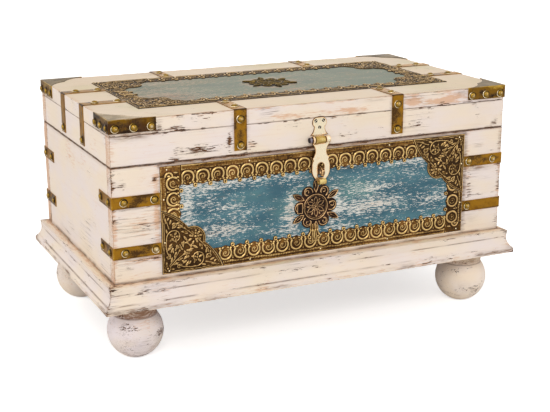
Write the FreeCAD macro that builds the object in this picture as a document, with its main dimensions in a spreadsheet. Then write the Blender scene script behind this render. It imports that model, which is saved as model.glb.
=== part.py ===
import FreeCAD, Part
import os
from types import SimpleNamespace

import Sketcher
from FreeCAD import Placement, Rotation, Vector

# Damchiya chest: a butt-jointed plank trunk on four ball feet, with a hinged lid, brass straps and borders,
# and a hasp. Lengths are in millimetres. X runs along the front, -Y is the front, +Z is up, and the origin is
# on the floor under the middle of the chest.

# Driving sizes

SIZES = {
    # carcass and lid
    "body_width": 850.0,
    "body_depth": 475.0,
    "body_height": 221.0,
    "board_thickness": 25.0,
    "bottom_thickness": 12.0,
    "lid_height": 87.0,
    "lid_slab_thickness": 30.0,
    "lid_rest_gap": 0.3,
    # plinth moulding: how far each step stands out, and how high it lies above the underside
    "plinth_height": 50.0,
    "plinth_top_reach": 15.5,
    "plinth_top_fall": 3.0,
    "plinth_neck_reach": 14.0,
    "plinth_bead_height": 33.0,
    "plinth_cove_reach": 21.0,
    "plinth_cove_height": 14.0,
    "plinth_cove_radius": 34.0,
    "plinth_lip_reach": 26.0,
    "plinth_lip_height": 6.0,
    "plinth_lip_radius": 7.5,
    # ball feet
    "foot_height": 115.0,
    "ball_radius": 54.5,
    "ball_centre_height": 51.0,
    "foot_inset": 53.0,
    "neck_radius": 42.0,
    "collar_radius": 55.0,
    "collar_cove_radius": 40.0,
    "spigot_radius": 12.5,
    "spigot_length": 22.0,
    "spigot_clearance": 0.1,
    "foot_block_side": 80.0,
    "foot_block_height": 30.0,
    # flat brass straps and corner brackets
    "strap_thickness": 1.5,
    "body_strap_width": 23.0,
    "body_strap_side_leg": 74.0,
    "upper_strap_drop": 66.0,
    "lower_strap_drop": 162.0,
    "lid_strap_width": 26.0,
    "lid_strap_leg": 78.0,
    "lid_front_strap_offset": 170.0,
    "lid_side_strap_offset": 66.0,
    "bracket_leg": 89.0,
    "bracket_drop": 24.5,
    "bracket_top_leg": 95.0,
    "bracket_notch": 40.0,
    "bracket_scallop_radius": 70.0,
    # dome nails, small pins and screws
    "stud_radius": 8.2,
    "stud_rim_height": 0.8,
    "stud_dome_radius": 7.0,
    "stud_dome_height": 4.2,
    "stud_shank_radius": 1.2,
    "stud_shank_length": 14.0,
    "pin_head_radius": 1.8,
    "pin_head_height": 0.9,
    "pin_shank_radius": 0.6,
    "pin_shank_length": 9.0,
    "nail_clearance": 0.05,
    "screw_head_radius": 3.6,
    "screw_head_depth": 1.5,
    "screw_shank_radius": 1.6,
    "screw_length": 14.0,
    "bracket_stud_first": 11.0,
    "bracket_stud_second": 46.0,
    "bracket_stud_third": 79.0,
    "bracket_stud_drop": 15.0,
    "body_stud_front_near": 22.0,
    "body_stud_end_inset": 11.0,
    "body_stud_side_near": 16.0,
    "body_stud_side_far": 61.0,
    "lid_stud_upper_drop": 18.0,
    "lid_stud_lower_drop": 68.0,
    "lid_top_stud_near": 27.0,
    "lid_stud_end_inset": 13.0,
    # pressed brass of the front
    "sheet_thickness": 1.0,
    "relief_height": 1.6,
    "front_border_margin": 93.0,
    "strap_border_gap": 1.0,
    "front_border_height": 208.0,
    "front_border_drop": 6.5,
    "sheet_joint_gap": 0.2,
    "strip_width": 41.0,
    "plain_band_width": 12.0,
    "arch_pitch": 30.1,
    "arch_radius": 13.0,
    "arch_wall": 3.0,
    "arch_end_gap": 0.4,
    "seed_radius": 4.0,
    "loop_radius": 4.4,
    "loop_overhang": 0.6,
    "ring_pitch": 34.5,
    "strip_end_room": 34.0,
    # pressed corner plates
    "plate_leg": 124.0,
    "plate_cusp_near": 54.0,
    "plate_cusp_far": 87.0,
    "plate_lobe_radius": 26.0,
    "plate_side_radius": 118.0,
    "scroll_radius": 15.0,
    "scroll_wall": 2.4,
    "plate_seed_length": 11.0,
    "plate_seed_width": 5.0,
    # medallions
    "medallion_offset": -10.0,
    "medallion_drop": 207.0,
    "wheel_radius": 27.0,
    "wheel_rim_width": 2.2,
    "rosette_radius": 21.0,
    "petal_width": 7.0,
    "medallion_disc_radius": 35.0,
    "lobe_radius": 12.0,
    "lobe_reach": 38.0,
    "lobe_rim_width": 2.4,
    "leaf_length": 26.0,
    "leaf_width": 11.0,
    "leaf_reach": 45.0,
    "medallion_fold_count": 6,
    # pressed brass of the lid
    # back hinges
    "hinge_offset": 300.0,
    "hinge_length": 60.0,
    "hinge_leaf_width": 30.0,
    "hinge_leaf_thickness": 1.6,
    "hinge_knuckle_radius": 4.4,
    "hinge_pin_radius": 2.0,
    "hinge_wall_gap": 0.3,
    "hinge_running_clearance": 0.05,
    "hinge_side_gap": 0.4,
    "hinge_pin_overrun": 0.5,
    "hinge_screw_inset": 9.0,
    # hasp and staple
    "hasp_offset": -4.0,
    "hasp_plate_drop": 28.5,
    "hasp_plate_thickness": 1.6,
    "hasp_plate_head_width": 28.0,
    "hasp_plate_waist_width": 21.0,
    "hasp_plate_foot_width": 38.0,
    "hasp_plate_lobe_radius": 9.0,
    "hasp_pin_drop": 72.0,
    "hasp_pin_radius": 4.4,
    "hasp_pin_head_radius": 5.2,
    "hasp_pin_head_length": 7.0,
    "hasp_knuckle_radius": 7.0,
    "hasp_left_knuckle_width": 4.4,
    "hasp_right_knuckle_width": 9.4,
    "hasp_screw_spread": 8.2,
    "hasp_screw_drop": 7.2,
    "hasp_wall_gap": 0.4,
    "hasp_leaf_thickness": 2.2,
    "hasp_leaf_width": 37.0,
    "hasp_leaf_neck_width": 25.0,
    "hasp_leaf_cusp_width": 35.0,
    "hasp_leaf_step_width": 30.0,
    "hasp_leaf_tip_width": 17.0,
    "hasp_ear_drop": 10.0,
    "hasp_cusp_drop": 33.0,
    "hasp_step_drop": 39.0,
    "hasp_belly_drop": 54.0,
    "hasp_tip_drop": 80.0,
    "hasp_neck_radius": 18.0,
    "hasp_belly_radius": 23.0,
    "hasp_curl_radius": 6.5,
    "hasp_curl_width": 12.0,
    "hasp_slot_width": 12.0,
    "hasp_slot_top_drop": 47.0,
    "hasp_slot_length": 25.5,
    "staple_eye_radius": 4.0,
    "staple_nose_radius": 8.5,
    "staple_thickness": 5.0,
    "staple_slot_gap": 1.5,
    "staple_leaf_gap": 1.0,
    "staple_flange_radius": 8.5,
    "staple_flange_thickness": 1.5,
    "staple_stem_radius": 3.5,
    "staple_stem_length": 20.0,
    "screw_row_gap": 13.0,
    "overrun": 5.0,
}

# Places given as shares of the sizes that they follow
LID_MARGIN_SHARE = 17 / 95
HASP_SCREW_SHARES = [(-1, 0), (1, 0), (0, 1)]
SCROLL_SHARES = [(0.6, 0.23), (0.23, 0.6)]
SEED_SHARES = [(0.17, 0.17), (0.31, 0.13), (0.13, 0.31), (0.30, 0.30), (0.44, 0.44), (0.57, 0.57)]
BORDER_PIN_SHARES = [0.02, 0.27, 0.5, 0.73, 0.98]
SIDE_PIN_SHARES = [0.3, 0.7]
STAPLE_BAR_SHARE = 0.8
PIN_HEAD_SHARE = 0.75


class Size:
    """A number together with the sheet formula that gives it."""

    def __init__(self, value, formula):
        self.value = float(value)
        self.formula = formula

    def __add__(self, other):
        other = as_size(other)
        return Size(self.value + other.value, f"({self.formula} + {other.formula})")

    __radd__ = __add__

    def __sub__(self, other):
        other = as_size(other)
        return Size(self.value - other.value, f"({self.formula} - {other.formula})")

    def __rsub__(self, other):
        return as_size(other) - self

    def __mul__(self, other):
        other = as_size(other)
        return Size(self.value * other.value, f"({self.formula} * {other.formula})")

    __rmul__ = __mul__

    def __truediv__(self, other):
        other = as_size(other)
        return Size(self.value / other.value, f"({self.formula} / {other.formula})")

    def __neg__(self):
        return Size(-self.value, f"(0 - {self.formula})")


def as_size(number):
    """A plain number, such as a count or zero, as a Size."""
    return number if isinstance(number, Size) else Size(number, f"{number:.10g}" if number >= 0
                                                        else f"(0 - {-number:.10g})")


def root(size):
    """The square root of an area, as a length."""
    return Size(size.value ** 0.5, f"sqrt({size.formula})")


def whole(size):
    """The whole number at or just below a size."""
    return Size(size.value // 1, f"floor({size.formula})")


# Document and sheet

doc = FreeCAD.newDocument("DamchiyaChest")
sheet = doc.addObject("Spreadsheet::Sheet", "Sizes")
for row, (alias, number) in enumerate(SIZES.items(), start=1):
    sheet.set(f"A{row}", alias)
    sheet.set(f"B{row}", str(number))
    sheet.setAlias(f"B{row}", alias)
doc.recompute()

S = SimpleNamespace(**{alias: Size(number, f"Sizes.{alias}") for alias, number in SIZES.items()})
ZERO = as_size(0)
parts = []
counter = {}


def fresh(name):
    """A name that no other object has yet."""
    counter[name] = counter.get(name, 0) + 1
    return f"{name}_{counter[name]}"


def bind(thing, prop, size):
    """Bind one property of an object to the sheet."""
    thing.setExpression(prop, as_size(size).formula)


def place(thing, x=ZERO, y=ZERO, z=ZERO, turn=None):
    """Put an object at a place given in sheet sizes, turned by a fixed rotation."""
    thing.Placement = Placement(Vector(), turn or Rotation())
    for axis, size in (("x", x), ("y", y), ("z", z)):
        bind(thing, f"Placement.Base.{axis}", size)
    return thing


def keep(thing, label):
    """List an object as one of the finished sub-parts."""
    thing.Label = label
    parts.append(thing)
    return thing


# Part primitives and booleans

def box(x, y, z):
    """A box between two corners, each axis given as a (low, high) pair."""
    block = doc.addObject("Part::Box", fresh("block"))
    for prop, (low, high) in (("Length", x), ("Width", y), ("Height", z)):
        bind(block, prop, as_size(high) - as_size(low))
    return place(block, x[0], y[0], z[0])


def cylinder(radius, height, x=ZERO, y=ZERO, z=ZERO, turn=None):
    """A cylinder along its own +Z, turned and placed."""
    rod = doc.addObject("Part::Cylinder", fresh("rod"))
    bind(rod, "Radius", radius)
    bind(rod, "Height", height)
    return place(rod, x, y, z, turn)


def fuse(pieces):
    """One solid from several overlapping pieces."""
    joined = doc.addObject("Part::MultiFuse", fresh("joined"))
    joined.Shapes = pieces
    joined.Refine = True
    return joined


def group(pieces):
    """Several separate solids in one object."""
    bunch = doc.addObject("Part::Compound", fresh("bunch"))
    bunch.Links = pieces
    return bunch


def cut(base, tool):
    """The base without what the tool covers."""
    result = doc.addObject("Part::Cut", fresh("cut"))
    result.Base = base
    result.Tool = tool
    return result


def copy_of(master, x=ZERO, y=ZERO, z=ZERO, turn=None):
    """A linked copy of a master piece at another place."""
    link = doc.addObject("App::Link", fresh("copy"))
    link.LinkedObject = master
    return place(link, x, y, z, turn)


TO_LEFT = Rotation(Vector(0, 1, 0), -90)
TO_RIGHT = Rotation(Vector(0, 1, 0), 90)
TO_FRONT = Rotation(Vector(1, 0, 0), 90)
TO_BACK = Rotation(Vector(0, 0, 1), 180).multiply(Rotation(Vector(1, 0, 0), 90))
UPWARD = Rotation()
HALF_TURN = Rotation(Vector(0, 0, 1), 180)


def quarter_turn(count):
    """A rotation about Z by a number of quarter turns."""
    return Rotation(Vector(0, 0, 1), 90 * count)


# Sketches and PartDesign features

def new_body(name):
    return doc.addObject("PartDesign::Body", fresh(name))


def new_sketch(body, role):
    """A sketch on one of the body's own origin planes."""
    sketch = body.newObject("Sketcher::SketchObject", fresh("sketch"))
    support = [feature for feature in body.Origin.OriginFeatures if feature.Role == role][0]
    sketch.AttachmentSupport = [(support, "")]
    sketch.MapMode = "FlatFace"
    return sketch


def name_constraints(sketch, constraints, names):
    """Add constraints and bind the named ones to sheet formulas."""
    first = sketch.ConstraintCount
    sketch.addConstraint(constraints)
    for offset, (name, formula) in names.items():
        sketch.renameConstraint(first + offset, name)
        sketch.setExpression(f"Constraints.{name}", formula)


def arc_between(start, end, radius, bulge):
    """An arc from start to end of the given radius. A bulge of +1 lies left of the way, -1 right of it."""
    chord = end - start
    half = chord.Length / 2
    rise = max(radius * radius - half * half, 0) ** 0.5
    left = Vector(-chord.y, chord.x, 0).normalize()
    centre = start + chord / 2 - left * rise * bulge
    top = centre + left * radius * bulge
    return Part.Arc(start, top, end)


def outline(sketch, steps):
    """A closed outline. Each step is (x, y) for a straight run to that point, or (x, y, radius, bulge)."""
    first = sketch.GeometryCount
    points = [Vector(as_size(step[0]).value, as_size(step[1]).value, 0) for step in steps]
    starts = points[-1:] + points[:-1]
    shapes = []
    arcs = []
    for index, step in enumerate(steps):
        if len(step) == 2:
            shapes.append(Part.LineSegment(starts[index], points[index]))
        else:
            radius, bulge = as_size(step[2]), step[3]
            shapes.append(arc_between(starts[index], points[index], radius.value, bulge))
            arcs.append((index, radius, bulge))
    sketch.addGeometry(shapes, False)
    ends = {index: (2, 1) for index in range(len(steps))}
    for index, _, bulge in arcs:
        ends[index] = (1, 2) if bulge > 0 else (2, 1)
    constraints = []
    names = {}
    for index in range(len(steps)):
        following = (index + 1) % len(steps)
        constraints.append(Sketcher.Constraint("Coincident", first + index, ends[index][0],
                                               first + following, ends[following][1]))
    for index, step in enumerate(steps):
        for kind, size in (("DistanceX", step[0]), ("DistanceY", step[1])):
            size = as_size(size)
            names[len(constraints)] = (f"{kind[-1].lower()}_{first + index}", size.formula)
            constraints.append(Sketcher.Constraint(kind, first + index, ends[index][0], size.value))
    for index, radius, _ in arcs:
        names[len(constraints)] = (f"radius_{first + index}", radius.formula)
        constraints.append(Sketcher.Constraint("Radius", first + index, radius.value))
    name_constraints(sketch, constraints, names)
    return sketch


def circle(sketch, x, y, radius):
    """A full circle in a sketch."""
    x, y, radius = as_size(x), as_size(y), as_size(radius)
    index = sketch.GeometryCount
    sketch.addGeometry([Part.Circle(Vector(x.value, y.value, 0), Vector(0, 0, 1), radius.value)], False)
    constraints = [Sketcher.Constraint("DistanceX", index, 3, x.value),
                   Sketcher.Constraint("DistanceY", index, 3, y.value),
                   Sketcher.Constraint("Radius", index, radius.value)]
    name_constraints(sketch, constraints, {0: (f"x_{index}", x.formula), 1: (f"y_{index}", y.formula),
                                           2: (f"radius_{index}", radius.formula)})
    return sketch


def pad(body, sketch, length, both_ways=False):
    """Raise a sketch into a solid."""
    feature = body.newObject("PartDesign::Pad", fresh("pad"))
    feature.Profile = sketch
    feature.SideType = "Symmetric" if both_ways else "One side"
    feature.AllowMultiFace = True
    bind(feature, "Length", length)
    doc.recompute()
    return feature


def pocket(body, sketch, length, both_ways=False, flip=False):
    """Cut a sketch out of the body, and make sure that something was cut."""
    before = body.Shape.Volume
    feature = body.newObject("PartDesign::Pocket", fresh("pocket"))
    feature.Profile = sketch
    feature.SideType = "Symmetric" if both_ways else "One side"
    feature.Reversed = flip
    feature.AllowMultiFace = True
    bind(feature, "Length", length)
    doc.recompute()
    if body.Shape.Volume >= before:
        raise RuntimeError(f"{feature.Name} cuts nothing")
    return feature


def row_of(body, features, sketch, axis, spacing, count):
    """Repeat features along a sketch axis."""
    pattern = body.newObject("PartDesign::LinearPattern", fresh("row"))
    pattern.Originals = features
    pattern.Direction = (sketch, [axis])
    pattern.Mode = "Spacing"
    bind(pattern, "Offset", spacing)
    bind(pattern, "Occurrences", count)
    body.Tip = pattern
    doc.recompute()
    return pattern


def ring_of(body, features, sketch, count):
    """Repeat features round the sketch's normal."""
    pattern = body.newObject("PartDesign::PolarPattern", fresh("ring"))
    pattern.Originals = features
    pattern.Axis = (sketch, ["N_Axis"])
    pattern.Angle = 360
    bind(pattern, "Occurrences", count)
    body.Tip = pattern
    doc.recompute()
    return pattern


def revolve(body, sketch, axis):
    """Turn a sketch full circle about one of its axes."""
    feature = body.newObject("PartDesign::Revolution", fresh("turning"))
    feature.Profile = sketch
    feature.ReferenceAxis = (sketch, [axis])
    feature.Angle = 360
    doc.recompute()
    return feature


# Levels and faces that several pieces share

half_width = S.body_width / 2
half_depth = S.body_depth / 2
underside = S.foot_height
body_top = underside + S.plinth_height + S.body_height
lid_bottom = body_top + S.lid_rest_gap
lid_top = body_top + S.lid_height
rail_top = lid_top - S.lid_slab_thickness
bottom_level = underside + S.foot_block_height
seam = body_top + S.lid_rest_gap / 2
front_border_width = S.body_width - 2 * S.front_border_margin
strap_front_leg = S.front_border_margin - S.strap_border_gap
body_stud_front_far = strap_front_leg - S.body_stud_end_inset
lid_border_margin = S.body_depth * LID_MARGIN_SHARE
lid_top_stud_far = lid_border_margin - S.lid_stud_end_inset


# Fasteners: one master of each kind, and a master of the hole it needs

def turned_master(name, steps):
    """A small turned piece about its own Z axis."""
    body = new_body(name)
    sketch = outline(new_sketch(body, "XZ_Plane"), steps)
    revolve(body, sketch, "V_Axis")
    return body


def nail_hole(name, radius, length):
    """The hole for a nail: its shank with the clearance, run out above the surface."""
    radius = radius + S.nail_clearance
    depth = length + S.nail_clearance
    return turned_master(name, [(ZERO, -depth), (radius, -depth), (radius, S.overrun), (ZERO, S.overrun)])


stud_crown_radius = ((S.stud_dome_radius * S.stud_dome_radius + S.stud_dome_height * S.stud_dome_height)
                     / (2 * S.stud_dome_height))
stud_master = turned_master("stud", [
    (ZERO, -S.stud_shank_length),
    (S.stud_shank_radius, -S.stud_shank_length),
    (S.stud_shank_radius, ZERO),
    (S.stud_radius, ZERO),
    (S.stud_radius, S.stud_rim_height),
    (S.stud_dome_radius, S.stud_rim_height),
    (ZERO, S.stud_rim_height + S.stud_dome_height, stud_crown_radius, -1),
])
stud_hole = nail_hole("stud_hole", S.stud_shank_radius, S.stud_shank_length)

pin_master = turned_master("pin", [
    (ZERO, -S.pin_shank_length),
    (S.pin_shank_radius, -S.pin_shank_length),
    (S.pin_shank_radius, ZERO),
    (S.pin_head_radius, ZERO),
    (ZERO, S.pin_head_height, (S.pin_head_radius * S.pin_head_radius + S.pin_head_height * S.pin_head_height)
     / (2 * S.pin_head_height), -1),
])
pin_hole = nail_hole("pin_hole", S.pin_shank_radius, S.pin_shank_length)


def screw_steps(play, above):
    """The outline of a countersunk screw, or of its hole when play is given."""
    head = S.screw_head_radius + play
    shank = S.screw_shank_radius + play
    steps = [(ZERO, -S.screw_length - play), (shank, -S.screw_length - play),
             (shank, -S.screw_head_depth - play), (head, ZERO)]
    return steps + ([(head, above), (ZERO, above)] if above else [(ZERO, ZERO)])


screw_master = turned_master("screw", screw_steps(ZERO, None))
screw_hole = turned_master("screw_hole", screw_steps(S.nail_clearance, S.overrun))

FACES = {
    "front": (TO_FRONT, lambda along, up: (along, -half_depth, up)),
    "back": (TO_BACK, lambda along, up: (along, half_depth, up)),
    "left": (TO_LEFT, lambda along, up: (-half_width, along, up)),
    "right": (TO_RIGHT, lambda along, up: (half_width, along, up)),
    "top": (UPWARD, lambda x, y: (x, y, lid_top)),
}
OUTWARD = {"front": (0, -1, 0), "back": (0, 1, 0), "left": (-1, 0, 0), "right": (1, 0, 0), "top": (0, 0, 1)}


def fasteners(master, hole, places, seat):
    """Copies of a fastener and of its hole on the listed faces. Its head lies on a sheet, the seat."""
    pieces = []
    holes = []
    for face, along, up in places:
        turn, spot = FACES[face]
        where = [as_size(value) for value in spot(as_size(along), as_size(up))]
        where = [value + seat * way if way else value for value, way in zip(where, OUTWARD[face])]
        pieces.append(copy_of(master, *where, turn=turn))
        holes.append(copy_of(hole, *where, turn=turn))
    return group(pieces), group(holes)


SIDES = (-1, 1)

# Dome nails of the corner straps. One nail is missing at the lower right of the front.
body_stud_places = []
for drop in (S.upper_strap_drop, S.lower_strap_drop):
    for side in SIDES:
        for face in ("front", "back"):
            for inset in (S.body_stud_front_near, body_stud_front_far):
                missing = face == "front" and side > 0 and drop is S.lower_strap_drop \
                    and inset is S.body_stud_front_near
                if not missing:
                    body_stud_places.append((face, side * (half_width - inset), body_top - drop))
        for end in SIDES:
            for inset in (S.body_stud_side_near, S.body_stud_side_far):
                body_stud_places.append(("right" if side > 0 else "left", end * (half_depth - inset),
                                         body_top - drop))
body_studs, body_stud_holes = fasteners(stud_master, stud_hole, body_stud_places, S.strap_thickness)
keep(body_studs, "body_studs")

# Dome nails of the lid's brackets and straps
lid_stud_places = []
bracket_insets = (S.bracket_stud_first, S.bracket_stud_second, S.bracket_stud_third)
for side in SIDES:
    for inset in bracket_insets:
        for face in ("front", "back"):
            lid_stud_places.append((face, side * (half_width - inset), lid_top - S.bracket_stud_drop))
        for face in ("left", "right"):
            lid_stud_places.append((face, side * (half_depth - inset), lid_top - S.bracket_stud_drop))
    for drop in (S.lid_stud_upper_drop, S.lid_stud_lower_drop):
        for face in ("front", "back"):
            lid_stud_places.append((face, side * S.lid_front_strap_offset, lid_top - drop))
    for face in ("left", "right"):
        lid_stud_places.append((face, side * S.lid_side_strap_offset, lid_top - S.lid_stud_lower_drop))
    for inset in (S.lid_top_stud_near, lid_top_stud_far):
        for end in SIDES:
            lid_stud_places.append(("top", side * S.lid_front_strap_offset, end * (half_depth - inset)))
            lid_stud_places.append(("top", end * (half_width - inset), side * S.lid_side_strap_offset))
lid_studs, lid_stud_holes = fasteners(stud_master, stud_hole, lid_stud_places, S.strap_thickness)
keep(lid_studs, "lid_studs")

# Small pins along the plain bands of the pressed brass
border_left = -front_border_width / 2
border_top = body_top - S.front_border_drop
border_bottom = border_top - S.front_border_height
band_middle = S.plain_band_width / 2
body_pin_places = []
for share in BORDER_PIN_SHARES:
    along = border_left + front_border_width * share
    body_pin_places.append(("front", along, border_top - band_middle))
    body_pin_places.append(("front", along, border_bottom + band_middle))
for share in SIDE_PIN_SHARES:
    up = border_top - S.front_border_height * share
    body_pin_places.append(("front", border_left + band_middle, up))
    body_pin_places.append(("front", -border_left - band_middle, up))
body_pins, body_pin_holes = fasteners(pin_master, pin_hole, body_pin_places, S.sheet_thickness)
keep(body_pins, "body_pins")

lid_border_width = S.body_width - 2 * lid_border_margin
lid_border_depth = S.body_depth - 2 * lid_border_margin
lid_pin_places = []
for share in BORDER_PIN_SHARES:
    for side in SIDES:
        lid_pin_places.append(("top", lid_border_width * (share - 0.5), side * (lid_border_depth / 2
                                                                                - band_middle)))
        lid_pin_places.append(("top", side * (lid_border_width / 2 - band_middle),
                               lid_border_depth * (share - 0.5)))
lid_pins, lid_pin_holes = fasteners(pin_master, pin_hole, lid_pin_places, S.sheet_thickness)
keep(lid_pins, "lid_pins")


# Back hinges

hinge_axis_y = half_depth + S.hinge_knuckle_radius + S.hinge_wall_gap
knuckle_count = 3
knuckle_pitch = S.hinge_length / knuckle_count
hinge_bore = S.hinge_pin_radius + S.hinge_running_clearance
leaf_clearance = S.hinge_knuckle_radius + S.hinge_side_gap


def hinge_leaf(knuckles, side):
    """One leaf about the hinge's own middle: side +1 lies above the pin, -1 below it."""
    pieces = []
    near, far = sorted((side * leaf_clearance, side * S.hinge_leaf_width), key=lambda size: size.value)
    face = -S.hinge_knuckle_radius - S.hinge_wall_gap
    plate = (face, face + S.hinge_leaf_thickness)
    pieces.append(box((-S.hinge_length / 2, S.hinge_length / 2), plate, (near, far)))
    for index in knuckles:
        start = -S.hinge_length / 2 + knuckle_pitch * index + S.hinge_side_gap / 2
        end = start + knuckle_pitch - S.hinge_side_gap
        low, high = sorted((ZERO, side * (leaf_clearance + S.hinge_side_gap)), key=lambda size: size.value)
        pieces.append(box((start, end), plate, (low, high)))
        pieces.append(cylinder(S.hinge_knuckle_radius, end - start, x=start, turn=TO_RIGHT))
    bore = cylinder(hinge_bore, S.hinge_length + 2 * S.overrun, x=-S.hinge_length / 2 - S.overrun,
                    turn=TO_RIGHT)
    return cut(fuse(pieces), bore)


lower_leaf = hinge_leaf((0, 2), -1)
upper_leaf = hinge_leaf((1,), 1)
hinge_pin = fuse([
    cylinder(S.hinge_pin_radius, S.hinge_length + 2 * S.hinge_pin_overrun,
             x=-S.hinge_length / 2 - S.hinge_pin_overrun, turn=TO_RIGHT),
    cylinder(S.hinge_knuckle_radius * PIN_HEAD_SHARE, S.hinge_pin_radius / 2,
             x=-S.hinge_length / 2 - S.hinge_pin_overrun, turn=TO_LEFT),
    cylinder(S.hinge_knuckle_radius * PIN_HEAD_SHARE, S.hinge_pin_radius / 2,
             x=S.hinge_length / 2 + S.hinge_pin_overrun, turn=TO_RIGHT),
])
screw_level = S.hinge_leaf_width - S.hinge_screw_inset
hinge_screw_reach = S.hinge_length / 2 - S.hinge_screw_inset
hinge_screw_insets = (-hinge_screw_reach, ZERO, hinge_screw_reach)
hinge_screw_places = {way: [("back", side * S.hinge_offset + inset, seam + way * screw_level)
                            for side in SIDES for inset in hinge_screw_insets] for way in SIDES}
body_screws, body_screw_holes = fasteners(screw_master, screw_hole, hinge_screw_places[-1],
                                          S.hinge_leaf_thickness)
lid_screws, lid_screw_holes = fasteners(screw_master, screw_hole, hinge_screw_places[1],
                                        S.hinge_leaf_thickness)
keep(body_screws, "hinge_body_screws")
keep(lid_screws, "hinge_lid_screws")
for master, holes, label in ((lower_leaf, body_screw_holes, "hinge_body_leaves"),
                             (upper_leaf, lid_screw_holes, "hinge_lid_leaves")):
    pair = group([copy_of(master, side * S.hinge_offset, hinge_axis_y, seam) for side in SIDES])
    keep(cut(pair, holes), label)
keep(group([copy_of(hinge_pin, side * S.hinge_offset, hinge_axis_y, seam) for side in SIDES]), "hinge_pins")


# Hasp: plate and pin on the lid, slotted leaf that turns on the pin

hasp_pin_z = lid_top - S.hasp_pin_drop
hasp_axis_y = -half_depth - S.hasp_knuckle_radius - S.hasp_wall_gap
hasp_bore = S.hasp_pin_radius + S.hinge_running_clearance
leaf_half = S.hasp_leaf_width / 2
knuckle_left = S.hasp_left_knuckle_width + S.hinge_side_gap - leaf_half
knuckle_right = leaf_half - S.hasp_right_knuckle_width - S.hinge_side_gap

hasp_screw_places = [("front", S.hasp_offset + S.hasp_screw_spread * across,
                      lid_top - S.hasp_plate_drop - S.hasp_screw_drop - S.screw_row_gap * down)
                     for across, down in HASP_SCREW_SHARES]
hasp_screws, hasp_screw_holes = fasteners(screw_master, screw_hole, hasp_screw_places,
                                          S.hasp_plate_thickness)
keep(hasp_screws, "hasp_plate_screws")

plate_head = S.hasp_plate_head_width / 2
plate_waist = S.hasp_plate_waist_width / 2
plate_foot = S.hasp_plate_foot_width / 2
plate_top = S.hasp_pin_drop - S.hasp_plate_drop
plate_body = new_body("hasp_plate_sheet")
plate_shape = outline(new_sketch(plate_body, "XY_Plane"), [
    (knuckle_left, ZERO),
    (knuckle_right, ZERO),
    (knuckle_right, S.hasp_knuckle_radius + S.hinge_side_gap),
    (plate_foot, S.hasp_knuckle_radius + S.hinge_side_gap),
    (plate_waist, plate_top - S.hasp_plate_lobe_radius * 2, S.hasp_plate_foot_width / 2, 1),
    (plate_head, plate_top - S.hasp_plate_lobe_radius, S.hasp_plate_lobe_radius, -1),
    (plate_head - S.hasp_plate_lobe_radius, plate_top, S.hasp_plate_lobe_radius, -1),
    (S.hasp_plate_lobe_radius - plate_head, plate_top),
    (-plate_head, plate_top - S.hasp_plate_lobe_radius, S.hasp_plate_lobe_radius, -1),
    (-plate_waist, plate_top - S.hasp_plate_lobe_radius * 2, S.hasp_plate_lobe_radius, -1),
    (-plate_foot, S.hasp_knuckle_radius + S.hinge_side_gap, S.hasp_plate_foot_width / 2, 1),
    (knuckle_left, S.hasp_knuckle_radius + S.hinge_side_gap),
])
pad(plate_body, plate_shape, S.hasp_plate_thickness)
place(plate_body, S.hasp_offset, -half_depth, hasp_pin_z, TO_FRONT)
plate_knuckle = cylinder(S.hasp_knuckle_radius, knuckle_right - knuckle_left, S.hasp_offset + knuckle_left,
                         hasp_axis_y, hasp_pin_z, TO_RIGHT)
plate_web = box((S.hasp_offset + knuckle_left, S.hasp_offset + knuckle_right),
                (-half_depth - S.hasp_knuckle_radius, -half_depth),
                (hasp_pin_z, hasp_pin_z + S.hasp_knuckle_radius))
hasp_bore_rod = cylinder(hasp_bore, S.hasp_leaf_width + 2 * S.overrun,
                         S.hasp_offset - leaf_half - S.overrun, hasp_axis_y, hasp_pin_z, TO_RIGHT)
keep(cut(cut(fuse([plate_body, plate_knuckle, plate_web]), hasp_bore_rod), hasp_screw_holes), "hasp_plate")

pin_shaft = cylinder(S.hasp_pin_radius, S.hasp_leaf_width + S.hasp_pin_head_length,
                     S.hasp_offset - leaf_half - S.hasp_pin_head_length, hasp_axis_y, hasp_pin_z, TO_RIGHT)
pin_head = cylinder(S.hasp_pin_head_radius, S.hasp_pin_head_length,
                    S.hasp_offset - leaf_half - S.hinge_side_gap, hasp_axis_y, hasp_pin_z, TO_LEFT)
keep(fuse([pin_shaft, pin_head]), "hasp_pin")

leaf_neck = S.hasp_leaf_neck_width / 2
leaf_cusp = S.hasp_leaf_cusp_width / 2
leaf_step = S.hasp_leaf_step_width / 2
leaf_tip = S.hasp_leaf_tip_width / 2
leaf_body = new_body("hasp_leaf_sheet")
right_edge = [
    (leaf_half, -S.hasp_ear_drop),
    (leaf_neck, -(S.hasp_ear_drop + S.hasp_cusp_drop) / 2, S.hasp_neck_radius, 1),
    (leaf_cusp, -S.hasp_cusp_drop, S.hasp_neck_radius, 1),
    (leaf_step, -S.hasp_step_drop),
    (leaf_half, -S.hasp_belly_drop, S.hasp_belly_radius, -1),
    (leaf_tip, -S.hasp_tip_drop, S.hasp_leaf_width, -1),
]
left_edge = [
    (-leaf_tip, -S.hasp_tip_drop),
    (-leaf_half, -S.hasp_belly_drop, S.hasp_leaf_width, -1),
    (-leaf_step, -S.hasp_step_drop, S.hasp_belly_radius, -1),
    (-leaf_cusp, -S.hasp_cusp_drop),
    (-leaf_neck, -(S.hasp_ear_drop + S.hasp_cusp_drop) / 2, S.hasp_neck_radius, 1),
    (-leaf_half, -S.hasp_ear_drop, S.hasp_neck_radius, 1),
    (-leaf_half, ZERO),
    (leaf_half, ZERO),
]
leaf_shape = outline(new_sketch(leaf_body, "XY_Plane"), right_edge + left_edge)
pad(leaf_body, leaf_shape, S.hasp_leaf_thickness, both_ways=True)
gap_left = knuckle_left - S.hinge_side_gap
gap_right = knuckle_right + S.hinge_side_gap
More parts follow.
